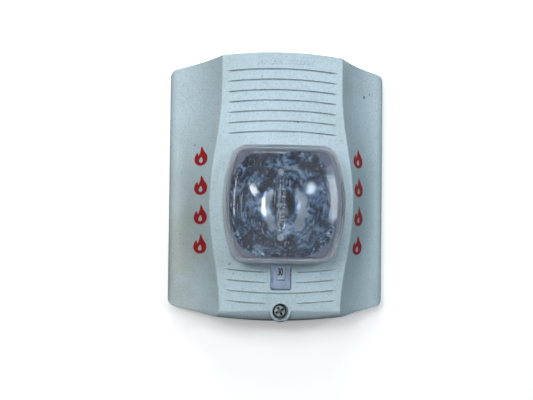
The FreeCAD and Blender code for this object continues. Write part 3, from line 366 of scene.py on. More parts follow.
# ---- materials ----
def housing_material():
    """Blue-white moulded plastic: grain, marks, stains; grime and painted shade in corners; painted shade on right
    wing and lower band.
    """
    g = Graph("housing_white")
    broad = g.noise(14, 3)
    cloudy = g.noise(60, 5, 0.6)
    colour = g.mix(g.step(broad, 0.40, 0.66), (0.50, 0.64, 0.70), (0.47, 0.60, 0.65))
    colour = g.mix(g.step(cloudy, 0.45, 0.75, 0, 0.5), colour, (0.42, 0.53, 0.57))
    speckle = g.noise(1050, 3, 0.7)
    colour = g.mix(g.step(speckle, 0.50, 0.70, 0, 0.55), colour, (0.30, 0.39, 0.42))
    colour = g.mix(g.step(speckle, 0.48, 0.30, 0, 0.45), colour, (0.62, 0.78, 0.85))
    # warm, greenish staining towards the lower left
    left = g.step(g.axis("X"), -0.026, -0.056)
    low = g.step(g.axis("Z"), 0.045, -0.035)
    blotch = g.step(g.noise(38, 4, 0.6), 0.30, 0.60, 0.35, 1)
    stain = g.times(g.times(left, low), blotch)
    colour = g.mix(g.times(stain, 0.75), colour, (0.345, 0.385, 0.345))
    # a cooler, darker right wing: painted shade, as the light falls from the left
    right = g.times(g.step(g.axis("X"), 0.030, 0.044), g.step(g.axis("Z"), 0.060, 0.000))
    colour = g.mix(g.times(right, 0.30), colour, (0.30, 0.42, 0.47))
    # grime and painted shade darken the grooves, the seams and the skirt
    open_air = g.cavity(0.0012)
    grime_and_shade = g.times(g.step(open_air, 0.84, 0.45),
                   g.step(g.noise(160, 4, 0.65), 0.25, 0.62, 0.35, 1))
    colour = g.mix(g.times(grime_and_shade, 0.70), colour, (0.10, 0.115, 0.12))
    # dark specks and short scuffs
    specks = g.step(g.noise(420, 1.5, 0.4), 0.735, 0.77)
    patch = g.step(g.noise(35, 2), 0.48, 0.60)
    colour = g.mix(g.times(g.times(specks, patch), 0.85), colour, (0.07, 0.07, 0.08))
    scuff = g.step(g.noise(210, 3, 0.6, 0.5, g.stretched(0.45, 1, 1.6, (0, 0.5, 0))), 0.69, 0.74)
    colour = g.mix(g.times(scuff, 0.35), colour, (0.26, 0.30, 0.32))
    # painted shade on the curled band, which faces down, smudged unevenly; brown crust at its rim
    smudge = g.step(g.noise(230, 5, 0.7), 0.30, 0.62, 0.5, 1)
    band_shade = g.times(g.step(g.axis("Z"), -0.0650, -0.0690), smudge)
    colour = g.mix(g.times(band_shade, 0.50), colour, (0.17, 0.20, 0.21))
    crust = g.step(g.noise(190, 3, 0.6), 0.30, 0.50, 0.3, 1)
    brown = g.times(g.step(g.axis("Z"), -0.0694, -0.0706), crust)
    colour = g.mix(g.times(brown, 0.85), colour, (0.075, 0.040, 0.028))
    grain = g.noise(1700, 2, 0.5)
    height = g.plus(g.times(grain, 0.45), g.times(speckle, 0.55))
    rough = g.plus(g.step(cloudy, 0.3, 0.7, 0.34, 0.46), g.times(grime_and_shade, 0.25))
    return g.surface(Base_Color=colour, Roughness=rough, Normal=g.bump(height, 0.00045, 0.85), IOR=1.5)


def moulded_material(name, colour, roughness, grain=1800, depth=0.00006, dust_and_shade=0.35):
    """Plain moulded plastic: grain, slight colour drift, dust and painted shade darkening its corners."""
    g = Graph(name)
    drift = g.mix(g.step(g.noise(70, 4, 0.6), 0.35, 0.7), colour, darker(colour, 0.82))
    # corners painted darker: dust and painted shade
    darkened_corners = g.times(g.step(g.cavity(0.0015), 0.9, 0.4), dust_and_shade)
    tone = g.mix(darkened_corners, drift, darker(colour, 0.35))
    rough = g.step(g.noise(240, 3), 0.3, 0.7, roughness - 0.06, roughness + 0.08)
    return g.surface(Base_Color=tone, Roughness=rough, Normal=g.bump(g.noise(grain, 2), depth, 0.6))


def metal_material(name, colour, roughness, brush, tarnish):
    """Metal with fine tool marks, patches of tarnish and painted shade darkening its hollows."""
    g = Graph(name)
    marks = g.noise(1500, 3, 0.6, 0, g.stretched(*brush))
    patches = g.step(g.noise(220, 4, 0.6), 0.42, 0.72, 0, tarnish)
    tone = g.mix(patches, colour, darker(colour, 0.45))
    # hollows painted nearly black: painted shade
    tone = g.mix(g.step(g.cavity(0.0024), 0.72, 0.38, 0, 0.95), tone, darker(colour, 0.03))
    rough = g.step(marks, 0.3, 0.7, roughness - 0.08, roughness + 0.12)
    return g.surface(Base_Color=tone, Roughness=rough, Metallic=1.0, Normal=g.bump(marks, 0.00003, 0.5))


def near(g, value, middle, reach):
    """1 where a number is at the middle, falling to 0 at the reach from it."""
    away = g.math("ABSOLUTE", g.minus(value, middle))
    return g.step(away, reach, 0.0)


def plating_tone(g, lift):
    """Crazed plating: soot-dark patches, slate blue and clean silver, all finely flecked."""
    clouds = g.noise(85, 5, 0.70, 1.0)
    fine = g.noise(480, 4, 0.80, 0.5)
    level = g.plus(g.times(clouds, 0.60), g.times(fine, 0.40))
    level = g.plus(level, lift)
    tone = g.ramp(level, [(0.43, (0.005, 0.011, 0.026)), (0.49, (0.050, 0.100, 0.180)),
                          (0.54, (0.25, 0.41, 0.60)), (0.58, (0.64, 0.84, 1.0)), (0.63, (1.0, 1.0, 1.0))])
    return tone, clouds, fine


def reflector_material():
    """Vacuum-plated dish: a dark, crazed blue mirror with bright flecks and streaks, painted reflections in two
    crescents and a dark middle.
    """
    g = Graph("plated_reflector")
    # two upright crescents beside the tube are painted brighter, as painted reflections of the lights, and the
    # middle between them darker, as a painted dark reflection
    across = g.minus(g.axis("X"), GLINT_MIDDLE * MM)
    upright = g.minus(g.axis("Z"), (LENS_Z - 2.0) * MM)
    radius = g.math("SQRT", g.plus(g.times(across, across),
                                   g.times(g.times(upright, upright), 0.75)))
    beside = g.step(g.math("ABSOLUTE", across), 0.0045, 0.0078)
    glint_crescents = g.times(near(g, radius, 0.0098, 0.0042), beside)
    centre = g.times(g.step(radius, 0.0105, 0.0045), g.step(upright, -0.006, 0.004, 0.35, 1.0))
    lift = g.minus(g.times(glint_crescents, 0.17), g.times(centre, 0.055))
    tone, clouds, fine = plating_tone(g, lift)
    for lean in (0.60, -0.35):
        streak = g.noise(900, 1, 0.4, 0.1, g.stretched(1.0, 0.3, 0.08, (0, lean, 0)))
        tone = g.mix(g.step(streak, 0.69, 0.71, 0, 0.8), tone, (0.90, 0.95, 1.0))
    crease = g.bump(clouds, 0.0013, g.step(glint_crescents, 0.1, 0.6, 0.7, 0.10))
    normal = g.bump(fine, 0.00030, g.step(glint_crescents, 0.1, 0.6, 0.6, 0.15), crease)
    return g.surface(Base_Color=tone, Metallic=0.70, Normal=normal,
                     Roughness=g.step(fine, 0.3, 0.7, 0.07, 0.24))


def flange_material():
    """The flange round the dish: the same plating, worn through to blue-grey plastic at its corners."""
    g = Graph("flange_plating")
    tone, clouds, fine = plating_tone(g, 0.0)
    wide = g.times(g.axis("X"), g.axis("X"))
    away = g.minus(g.axis("Z"), LENS_Z * MM)
    radius = g.math("SQRT", g.plus(wide, g.times(away, away)))
    frayed = g.plus(radius, g.times(g.minus(clouds, 0.5), 0.008))
    worn = g.step(frayed, 0.0290, 0.0315)
    plastic = g.mix(g.step(clouds, 0.35, 0.65), (0.20, 0.23, 0.30), (0.26, 0.30, 0.37))
    return g.surface(Base_Color=g.mix(worn, tone, plastic), Metallic=g.step(worn, 0.2, 0.8, 0.75, 0.0),
                     Roughness=g.step(fine, 0.3, 0.7, 0.16, 0.34), Normal=g.bump(clouds, 0.0006, 0.5))


def lens_material():
    """Clear polycarbonate: milky in its side wall, browned at its shoulder, finely scratched in front."""
    g = Graph("lens_clear")
    scratch = g.noise(260, 4, 0.65, 0.3, g.stretched(1, 1, 7, (0.2, 0.7, 0.4)))
    haze = g.noise(90, 5, 0.6)
    edge = LENS_FRONT - MILKY_BEHIND
    side = g.step(g.axis("Y"), -edge * MM, -(edge - 2.0) * MM)
    line = near(g, g.axis("Y"), -(edge + 0.3) * MM, 0.0008)
    rough = g.plus(g.step(scratch, 0.60, 0.72, 0.01, 0.13), g.step(haze, 0.4, 0.75, 0.0, 0.02))
    rough = g.plus(rough, g.times(side, 0.22))
    tone = g.mix(g.step(haze, 0.3, 0.7), (0.93, 0.95, 0.98), (0.86, 0.88, 0.93))
    tone = g.mix(side, tone, (0.78, 0.84, 0.92))
    tone = g.mix(g.times(line, 0.55), tone, (0.56, 0.42, 0.38))
    clear = g.step(haze, 0.35, 0.7, 0.985, 0.955)
    clear = g.minus(clear, g.times(side, 0.44))
    clear = g.minus(clear, g.times(line, 0.25))
    return g.surface(Base_Color=tone, Roughness=rough, Transmission_Weight=clear, IOR=1.30,
                     Normal=g.bump(scratch, 0.00004, 0.4))


def pane_material(name, colour, roughness):
    """Clear glass or window plastic with faint upright wipe marks."""
    g = Graph(name)
    marks = g.noise(500, 4, 0.6, 0.2, g.stretched(1, 1, 4))
    tone = g.mix(g.step(marks, 0.4, 0.7), colour, darker(colour, 0.9))
    return g.surface(Base_Color=tone, Transmission_Weight=1.0, IOR=1.4,
                     Roughness=g.step(marks, 0.5, 0.75, roughness, roughness + 0.12))


def print_material(name, colour):
    """Screen-printed ink: nearly flat, slightly uneven in cover and gloss."""
    g = Graph(name)
    cover = g.noise(900, 4, 0.65)
    tone = g.mix(g.step(cover, 0.52, 0.74, 0, 0.4), colour, darker(colour, 0.6))
    return g.surface(Base_Color=tone, Roughness=g.step(cover, 0.3, 0.7, 0.38, 0.55),
                     Normal=g.bump(g.noise(2600, 2), 0.00006, 0.6))


def board_material():
    """Green solder mask over faint copper tracks."""
    g = Graph("board_green")
    track = g.add("ShaderNodeTexVoronoi", {"feature": "DISTANCE_TO_EDGE"}, Vector=g.place, Scale=260.0)
    lines = g.step(track.outputs["Distance"], 0.03, 0.06)
    tone = g.mix(lines, (0.05, 0.30, 0.15), (0.015, 0.14, 0.06))
    return g.surface(Base_Color=tone, Roughness=0.35, Normal=g.bump(lines, 0.00004, 0.5))


# name: (colour, roughness, grain scale, grain depth in metres, dust and painted shade in corners)
MOULDED = {
    "white_plastic": ((0.62, 0.66, 0.66), 0.48),
    "grey_plastic": ((0.16, 0.17, 0.18), 0.5),
    "black_plastic": ((0.025, 0.025, 0.028), 0.42),
    "slide_plastic": ((0.40, 0.42, 0.50), 0.4),
    "rotor_white": ((0.72, 0.70, 0.62), 0.4),
    "ferrite": ((0.03, 0.03, 0.033), 0.6, 900, 0.00012, 0.2),
    "can_sleeve": ((0.012, 0.02, 0.08), 0.25, 400, 0.00003, 0.2),
    "component_tan": ((0.36, 0.24, 0.12), 0.3, 700, 0.00003, 0.3),
    "ceramic": ((0.70, 0.67, 0.58), 0.6, 1400, 0.00006, 0.2),
    "black_rubber": ((0.015, 0.015, 0.016), 0.75, 700, 0.00018, 0.1),
    "white_rubber": ((0.62, 0.62, 0.60), 0.6, 900, 0.00008, 0.3),
    "gasket_grey": ((0.30, 0.34, 0.40), 0.5, 900, 0.00008, 0.3),
    "mask_lilac": ((0.74, 0.84, 0.97), 0.4, 900, 0.00005, 0.1),
}
# name: (colour, roughness, stretch of the tool marks, tarnish)
METALS = {
    "plated_steel": ((0.92, 0.94, 0.94), 0.36, (1, 1, 6), 0.35),
    "spring_brass": ((0.78, 0.55, 0.24), 0.3, (6, 1, 1), 0.35),
    "copper": ((0.72, 0.33, 0.16), 0.35, (1, 8, 1), 0.25),
    "wire_nickel": ((0.42, 0.50, 0.60), 0.25, (1, 1, 1), 0.5),
}
MATERIALS = {
    "housing_white": housing_material(),
    "scale_white": print_material("scale_white", (0.93, 0.96, 1.0)),
    "red_ink": print_material("red_ink", (0.36, 0.004, 0.008)),
    "black_ink": print_material("black_ink", (0.012, 0.012, 0.016)),
    "lens_clear": lens_material(),
    "window_clear": pane_material("window_clear", (0.86, 0.90, 0.97), 0.04),
    "tube_glass": pane_material("tube_glass", (0.93, 0.96, 0.98), 0.02),
    "plated_reflector": reflector_material(),
    "flange_plating": flange_material(),
    "board_green": board_material(),
}
MATERIALS.update({name: moulded_material(name, *look) for name, look in MOULDED.items()})
MATERIALS.update({name: metal_material(name, *look) for name, look in METALS.items()})
OWN_LOOKS = {"window_mask": "mask_lilac", "trigger_wire": "wire_nickel", "tube_leads": "wire_nickel",
             "lens_gasket": "gasket_grey"}


def dress_cad_nodes():
    """Gives every CAD node its own look, or else the material of its slot."""
    for entry in frame["record"]["subparts"]:
        mesh = nodes[entry["node"]].data
        mesh.materials.clear()
        mesh.materials.append(MATERIALS[OWN_LOOKS.get(entry["node"], entry["material_slot"])])
        for polygon in mesh.polygons:
            polygon.material_index = 0


# ---- camera and stage ----
CAMERA_PLACE = (-45.95, 468.1, -18.25)   # x, depth, z
CAMERA_YAW = 5.0                         # turned to the right, in degrees
CAMERA_PITCH = 1.48
CAMERA_ROLL = 0.68
LENS_PER_WIDTH = 1.5533                  # focal length over the sensor's width


def make_camera():
    yaw = math.radians(CAMERA_YAW)
    pitch = math.radians(CAMERA_PITCH)
    roll = math.radians(CAMERA_ROLL)
    ahead = Vector((math.sin(yaw) * math.cos(pitch), math.cos(yaw) * math.cos(pitch), math.sin(pitch)))
    level = Vector((math.cos(yaw), -math.sin(yaw), 0))
    upright = level.cross(ahead)
    side = math.cos(roll) * level + math.sin(roll) * upright
    top = -math.sin(roll) * level + math.cos(roll) * upright
    data = bpy.data.cameras.new("camera")
    data.sensor_width = 36.0
    data.lens = data.sensor_width * LENS_PER_WIDTH
    data.clip_start = 0.01
    camera = link("camera", data)
    x, depth, z = CAMERA_PLACE
    rotation = Matrix((side, top, -ahead)).transposed().to_4x4()
    camera.matrix_world = Matrix.Translation((x * MM, -depth * MM, z * MM)) @ rotation
    scene.camera = camera


def area_light(name, azimuth, height, distance, size, power, colour, roll):
    """A soft light aimed at the lens; azimuth is counted from the front, to the right."""
    data = bpy.data.lights.new(name, "AREA")
    data.shape = "RECTANGLE"
    data.size = size[0]
    data.size_y = size[1]
    data.energy = power
    data.color = colour
    light = link(name, data)
    turn = math.radians(azimuth)
    rise = math.radians(height)
    aim = Vector((0, -0.035, LENS_Z * MM))
    away = Vector((math.sin(turn) * math.cos(rise), -math.cos(turn) * math.cos(rise), math.sin(rise)))
    light.location = aim + away * distance
    aimed = (-away).to_track_quat("-Z", "Y").to_matrix() @ Matrix.Rotation(math.radians(roll), 3, "Z")
    light.rotation_euler = aimed.to_euler()
    return light


def stage_plane(name, corners, material):
    """A flat board of the stage, which is not part of the object."""
    mesh = mesh_from(name, corners, [(0, 1, 2, 3)])
    mesh.materials.append(material)
    plane = link(name, mesh)
    return plane


def stage_material(name, glow, see_through_back):
    """Plain pale matt board; the wall's back is clear, so that it hides nothing from behind."""
    g = Graph(name)
    tone = g.mix(g.noise(3, 2), (0.98, 0.98, 0.98), (0.97, 0.97, 0.97))
    matt = g.add("ShaderNodeBsdfDiffuse", Color=tone)
    shine = g.add("ShaderNodeEmission", Color=tone, Strength=glow)
    board = g.add("ShaderNodeAddShader")
    g.tree.links.new(matt.outputs[0], board.inputs[0])
    g.tree.links.new(shine.outputs[0], board.inputs[1])
    result = board
    if see_through_back:
        clear = g.add("ShaderNodeBsdfTransparent")
        side = g.add("ShaderNodeNewGeometry").outputs["Backfacing"]
        result = g.add("ShaderNodeMixShader", Fac=side)
        g.tree.links.new(board.outputs[0], result.inputs[1])
        g.tree.links.new(clear.outputs[0], result.inputs[2])
    g.tree.links.new(result.outputs[0], g.output.inputs["Surface"])
    return g.material


WALL_DEPTH = -0.4        # just behind the plate
FLOOR_Z = -320.0
# name, azimuth, height in degrees, distance, (width, height) in metres, watts, colour, roll
LIGHTS = [
    ("fill", -16, 17, 1.10, (0.50, 0.50), 4.5, (0.98, 0.99, 1.0), 0),
    ("top", -8, 55, 1.00, (0.40, 0.30), 2.4, (0.96, 0.985, 1.0), 0),
    ("left_strip", -46, 8, 0.95, (0.18, 0.70), 1.3, (1.0, 0.97, 0.92), 0),
    ("right_strip", 46, 8, 0.95, (0.18, 0.70), 1.4, (0.80, 0.92, 1.0), 0),
    ("left_gleam", -46, 6, 0.94, (0.16, 0.50), 2.6, (0.88, 0.95, 1.0), 0),
    ("right_gleam", 46, 6, 0.94, (0.16, 0.50), 2.6, (0.88, 0.95, 1.0), 0),
    ("small_lamp", -21, 11.5, 0.80, (0.055, 0.105), 0.80, (1.0, 1.0, 1.0), 48),
    ("second_lamp", 25, 13, 0.80, (0.08, 0.11), 0.90, (0.80, 0.91, 1.0), -18),
    ("back", 160, 25, 1.0, (0.8, 0.6), 6.0, (1.0, 1.0, 1.0), 0),
]


def hide_from(item, *rays):
    for ray in rays:
        setattr(item, "visible_" + ray, False)


def make_stage():
    """Plain wall and floor, a faint world and the soft lights."""
    wall = stage_plane("backdrop", [(-1500, WALL_DEPTH, -900), (1500, WALL_DEPTH, -900),
                                    (1500, WALL_DEPTH, 1500), (-1500, WALL_DEPTH, 1500)],
                       stage_material("backdrop", 0.26, True))
    hide_from(wall, "diffuse", "glossy", "transmission", "shadow")
    floor = stage_plane("floor", [(-3000, -3000, FLOOR_Z), (3000, -3000, FLOOR_Z),
                                  (3000, 3000, FLOOR_Z), (-3000, 3000, FLOOR_Z)],
                        stage_material("floor", 0.1, False))
    hide_from(floor, "glossy", "diffuse")
    world = bpy.data.worlds.new("studio")
    world.use_nodes = True
    background = world.node_tree.nodes["Background"]
    background.inputs["Color"].default_value = (0.92, 0.97, 1.0, 1)
    background.inputs["Strength"].default_value = 0.10
    scene.world = world
    lights = {values[0]: area_light(*values) for values in LIGHTS}
    # the broad fill would veil the lens, and the gleams are only there for the dish to mirror
    hide_from(lights["fill"], "glossy", "transmission")
    hide_from(lights["left_gleam"], "diffuse")
    hide_from(lights["right_gleam"], "diffuse")
    scene.view_settings.view_transform = "Standard"
    scene.view_settings.look = "None"


# ---- front housing ----
def flare(z):
    reach = np.where(z > FLARE_Z, FLARE_UP, FLARE_DOWN)
    return np.cos(np.pi / 2 * np.minimum(np.abs(z - FLARE_Z) / reach, 1)) ** 2


def panel_half_width(z):
    return PANEL_HALF_WIDTH + PANEL_FLARE * flare(z)


def panel_edge_depth(z):
    return PANEL_EDGE_DEPTH + PANEL_TILT * z / HALF_HEIGHT + PANEL_EDGE_SWELL * flare(z)


def top_edge(x):
    """Height of the outline's top edge at x, with its rounded corner."""
    reach = np.abs(x)
    drop = EDGE_RADIUS - np.sqrt(EDGE_RADIUS ** 2 - reach ** 2)
    into = np.clip(reach - (HALF_WIDTH - CORNER_RADIUS), 0, CORNER_RADIUS)
    return HALF_HEIGHT - drop - (CORNER_RADIUS - np.sqrt(CORNER_RADIUS ** 2 - into ** 2))


def cubic(t, p0, p1, p2, p3):
    return (1 - t) ** 3 * p0 + 3 * t * (1 - t) ** 2 * p1 + 3 * t * t * (1 - t) * p2 + t ** 3 * p3


def profile_point(part, t, z, inset=0.0):
    """(x, depth) on the right half of the section at height z: the panel, the wing or the corner."""
    edge_x = panel_half_width(z) - 0.6 * inset
    edge_depth = panel_edge_depth(z) - 1.05 * inset
    start_x = WING_START[0] - 0.4 * inset
    start_depth = WING_START[1] - 0.92 * inset
    side_x = HALF_WIDTH - inset
    span = start_x - edge_x
    if part == "panel":
        return t * edge_x, edge_depth + PANEL_SAG * (1 - t * t)
    if part == "wing":
        return (cubic(t, edge_x, edge_x + 0.34 * span, start_x - 0.38 * span, start_x),
                cubic(t, edge_depth, edge_depth - 0.60 * span, start_depth + 0.155 * span, start_depth))
    return (cubic(t, start_x, start_x + 2.4, side_x, side_x) + 0 * z,
            cubic(t, start_depth, start_depth - 1.0, start_depth - 2.2, CORNER_DEPTH) + 0 * z)


def section_columns():
    """Where the columns of the housing's grid lie along the right half of a section."""
    panel = [("panel", t) for t in np.linspace(0, 0.93, 40)]
    panel += [("panel", t) for t in np.linspace(0.94, 0.992, 8)]
    crease = [("panel", 1.0)]
    wing = [("wing", t) for t in np.linspace(0.006, 0.04, 6)]
    wing += [("wing", t) for t in np.linspace(0.06, 0.97, 42)]
    corner = [("corner", t) for t in np.linspace(0, 1, 12)]
    return panel + crease + wing + corner


def grid_heights():
    """Rows of the housing's grid, close together at each groove and at the top and bottom."""
    rows = list(np.arange(-HALF_HEIGHT + 6.5, HALF_HEIGHT - 2.0, 1.1))
    rows += [HALF_HEIGHT - step for step in (0, 0.06, 0.14, 0.25, 0.4, 0.6, 0.85, 1.2, 1.6)]
    rows += [-HALF_HEIGHT + step for step in (0, 0.08, 0.2, 0.4, 0.7, 1.1, 1.6, 2.2, 2.9, 3.6, 4.3, 5.0,
                                              5.6, 5.9, 6.1)]
    for groove in UPPER_GROOVES + LOWER_GROOVES:
        rows = [z for z in rows if abs(z - groove) > 1.1]
        rows += [groove + step for step in (-1.0, -0.75, -0.55, -0.45, -0.36, -0.25, -0.12, 0, 0.12,
                                            0.25, 0.36, 0.45, 0.55, 0.75, 1.0)]
    return np.array(sorted(rows))


def groove_shape(x, row):
    """How far the slats stand proud of the panel and the grooves sink into it."""
    total = np.zeros_like(x)
    ends = 1 - smoothstep(GROOVE_HALF_LENGTH - 1.6, GROOVE_HALF_LENGTH + 0.8, np.abs(x))
    for group in (UPPER_GROOVES, LOWER_GROOVES):
        for index, groove in enumerate(group):
            split = group is LOWER_GROOVES and index != 2
            reach = ends * (smoothstep(GROOVE_SPLIT - 0.3, GROOVE_SPLIT + 0.3, np.abs(x)) if split else 1)
            above = np.clip((row - groove) / GROOVE_PITCH, 0, 1)
            slat = np.where((above > 0) & (above < 1), (1 - above) ** 2.0, 0)
            sunk = np.exp(-((row - groove + 0.1) / (GROOVE_WIDTH / 2)) ** 4)
            total += reach * (SLAT_RISE * slat * smoothstep(0, 0.35, row - groove) - GROOVE_SINK * sunk)
    return total


def round_off(distance, radius):
    """Drop of a rounded edge at a distance in from it."""
    inside = np.clip(radius - distance, 0, radius)
    return radius - np.sqrt(radius ** 2 - inside ** 2)


def housing_surface(columns, rows, inset=0.0):
    """Points of the housing's front as arrays x, depth, z with one row per height."""
    x = np.zeros((len(rows), len(columns)))
    depth = np.zeros_like(x)
    z = np.repeat(rows[:, None], len(columns), axis=1)
    follow = smoothstep(-42, 25, rows)[:, None] * 2 - 1
    for _ in range(4):
        for index, (part, t) in enumerate(columns):
            x[:, index], depth[:, index] = profile_point(part, t, z[:, index], inset)
        z = rows[:, None] - follow * (HALF_HEIGHT - top_edge(x))
    return x, depth, z


def soften_crease(columns, x, depth):
    """The crease between panel and wing is a small radius, not a knife edge."""
    crease = columns.index(("panel", 1.0))
    for _ in range(5):
        around = slice(crease - 5, crease + 6)
        for values in (x, depth):
            inner = values[:, around]
            inner[:, 1:-1] = 0.25 * inner[:, :-2] + 0.5 * inner[:, 1:-1] + 0.25 * inner[:, 2:]


def bottom_curl(from_bottom):
    """Greatest depth near the bottom edge, where the panel curls back."""
    panel_bottom = PANEL_EDGE_DEPTH - PANEL_TILT + PANEL_SAG
    slope = CURL_SLOPE * np.clip(CURL_WIDTH - from_bottom, 0, CURL_WIDTH)
    return panel_bottom - slope - round_off(from_bottom, CURL_ROUND)


def front_depth(x, depth, z, row):
    """Adds the slats, the curled lower band and the rounded outer edges."""
    depth = depth + groove_shape(x, row)
    from_top = top_edge(x) - z
    from_bottom = z + top_edge(x)
    depth = np.where(from_bottom < CURL_WIDTH, np.minimum(depth, bottom_curl(from_bottom)), depth)
    return depth - round_off(from_top, EDGE_ROUND) - round_off(from_bottom, EDGE_ROUND * 0.6)


def lens_outline(grow):
    """The lens outline as (x, z) points, as in the CAD model, grown or drawn in."""
    radius = LENS_CORNER_RADIUS + grow
    flat_x = LENS_TOP_HALF_WIDTH - LENS_CORNER_RADIUS
    bend_z = LENS_HALF_HEIGHT - LENS_CORNER_RADIUS
    lean = math.radians(LENS_SIDE_LEAN)
    side_x = LENS_HALF_WIDTH + grow
    end_x = flat_x + radius * math.cos(lean)
    end_z = bend_z + radius * math.sin(lean)
    bulge = side_x - end_x
    arc_radius = (end_z ** 2 + bulge ** 2) / (2 * bulge)
    sweep = math.asin(end_z / arc_radius)
    quarter = [(t, bend_z + radius) for t in np.linspace(0, flat_x, 9)[:-1]]
    quarter += [(flat_x + radius * math.cos(a), bend_z + radius * math.sin(a))
                for a in np.linspace(math.pi / 2, lean, 15)[:-1]]
    quarter += [(side_x - arc_radius + arc_radius * math.cos(a), arc_radius * math.sin(a))
                for a in np.linspace(sweep, 0, 17)[:-1]]
    right = quarter + [(side_x, 0)] + [(x, -z) for x, z in reversed(quarter)]
    left = [(-x, z) for x, z in reversed(right)]
    outline = right + left[1:-1]
    return [(x, LENS_Z + z) for x, z in outline]


def grid_block(x, depth, z, rear):
    """Closes a half grid of front points into a block: mirrored, with a skirt and a flat back."""
    x = np.hstack([-x[:, :0:-1], x])
    depth = np.hstack([depth[:, :0:-1], depth])
    z = np.hstack([z[:, :0:-1], z])
    high, wide = x.shape
    points = list(zip(x.flat, depth.flat, z.flat))
    faces = [[i * wide + j, i * wide + j + 1, (i + 1) * wide + j + 1, (i + 1) * wide + j]
             for i in range(high - 1) for j in range(wide - 1)]
    border = list(range(wide))
    border += [i * wide + wide - 1 for i in range(1, high)]
    border += [(high - 1) * wide + j for j in range(wide - 2, -1, -1)]
    border += [i * wide for i in range(high - 2, 0, -1)]
    previous = border
    for share in (0.04, 0.5, 1.0):
        ring = []
        for index in border:
            px, pd, pz = points[index]
            ring.append(len(points))
            points.append((px, pd + (rear - pd) * share, pz))
        for k in range(len(border)):
            after = (k + 1) % len(border)
            faces.append([previous[k], previous[after], ring[after], ring[k]])
        previous = ring
    faces.append(list(reversed(previous)))
    return points, faces


def inner_block():
    """The hollow behind the housing's skin, as a cutter."""
    columns = [("panel", t) for t in np.linspace(0, 1, 14)]
    columns += [("wing", t) for t in np.linspace(0.06, 1, 18)]
    columns += [("corner", t) for t in np.linspace(0.25, 1, 4)]
    reach = HALF_HEIGHT - WALL
    rows = np.concatenate([np.linspace(-reach, -reach + 5, 8), np.linspace(-reach + 7, reach, 46)])
    x, depth, z = housing_surface(columns, rows, WALL)
    depth = np.minimum(depth, bottom_curl(z + top_edge(x) - WALL) - WALL)
    return plain_mesh("cut_inside", *grid_block(x, depth, z, -5.0))


def make_housing():
    """The front shell: a finely gridded block, hollowed, with its openings cut through."""
    columns = section_columns()
    rows = grid_heights()
    x, depth, z = housing_surface(columns, rows)
    soften_crease(columns, x, depth)
    depth = front_depth(x, depth, z, np.repeat(rows[:, None], len(columns), axis=1))
    points, faces = grid_block(x, depth, z, REAR_GAP)
    housing = make_object("housing_shell", points, faces, "head", MATERIALS["housing_white"], 38)
    relief_x = HALF_WIDTH - WALL - 0.5
    gap = 0.2
    window = rounded_box(window_low.x - gap, window_high.x + gap,
                         window_low.z - gap, window_high.z + gap, 1.4)
    cut(housing, [inner_block()], 38)
    cut(housing, [prism("cut_lens", lens_outline(gap), 20, 60),
                  prism("cut_window", window, 20, 60),
                  prism("cut_screw", circle(0, SCREW_Z, BOSS_RADIUS - 0.3), 10, 60),
                  prism("cut_rim", rounded_box(-relief_x, relief_x, 60.8, 90, 0.5), -5, TOP_RIM_RELIEF)], 38)
    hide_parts("front_housing")


def rounded_box(x0, x1, z0, z1, radius, count=6):
    """Outline of a rectangle with rounded corners, as (x, z) points."""
    points = []
    for cx, cz, start in ((x1 - radius, z1 - radius, 0), (x0 + radius, z1 - radius, 90),
                          (x0 + radius, z0 + radius, 180), (x1 - radius, z0 + radius, 270)):
        for k in range(count + 1):
            angle = math.radians(start + 90 * k / count)
            points.append((cx + radius * math.cos(angle), cz + radius * math.sin(angle)))
    return points


def surface_depth(x, z):
    """Depth of the housing's front at (x, z), away from grooves and edges."""
    samples = [profile_point(part, t, np.array(float(z))) for part, t in section_columns()]
    xs = [float(sample[0]) for sample in samples]
    depths = [float(sample[1]) for sample in samples]
    return float(np.interp(abs(x), xs, depths))


def make_screw_boss():
    """The raised ring round the captive screw, with its counterbore and floor."""
    lip = BOSS_RADIUS - COUNTERBORE_RADIUS
    mid = COUNTERBORE_RADIUS + lip / 2
    floor = -screw_low.y - 2.7
    profile = [(BOSS_RADIUS, BOSS_REAR), (BOSS_RADIUS, BOSS_FRONT - 1.2)]
    for k in range(9):
        angle = math.pi * k / 8
        profile.append((mid + lip / 2 * math.cos(angle), BOSS_FRONT - 0.55 + 0.55 * math.sin(angle)))
    profile += [(COUNTERBORE_RADIUS, BOSS_FRONT - 1.2), (COUNTERBORE_RADIUS, floor)]
    profile += [(SCREW_HOLE_RADIUS, floor), (SCREW_HOLE_RADIUS, BOSS_REAR)]
    boss = lathe("screw_boss", profile, 0, SCREW_Z, "head", MATERIALS["housing_white"], 72, True)


# ---- lens, reflector ----
def dome_depth(x, z, front):
    """Depth of the lens's dome at (x, z)."""
    reach = DOME_RADIUS ** 2 - x ** 2 - (z - LENS_Z) ** 2
    return front - DOME_RADIUS + math.sqrt(reach)


def lens_skin(grow, front, base, shoulder):
    """Rings of points from the base, up the side wall, round the shoulder and over the dome."""
    rings = []
    for share in (0.0, 0.35, 0.7, 1.0):
        lean = 0.45 * (1 - share)
        widened = lens_outline(grow + lean)
        rings.append([(x, base + (dome_depth(x, z, front) - shoulder - base) * share, z)
                      for x, z in widened])
    for k in range(1, 9):
        angle = math.pi / 2 * k / 8
        drawn = lens_outline(grow - shoulder * (1 - math.cos(angle)))
        rings.append([(x, dome_depth(x, z, front) - shoulder * (1 - math.sin(angle)), z)
                      for x, z in drawn])
    rim = lens_outline(grow - shoulder)
    for share in np.linspace(0.93, 0.0, 14):
        ring = []
        for x, z in rim:
            px = x * share
            pz = LENS_Z + (z - LENS_Z) * share
            ring.append((px, dome_depth(px, pz, front), pz))
        rings.append(ring)
    return rings


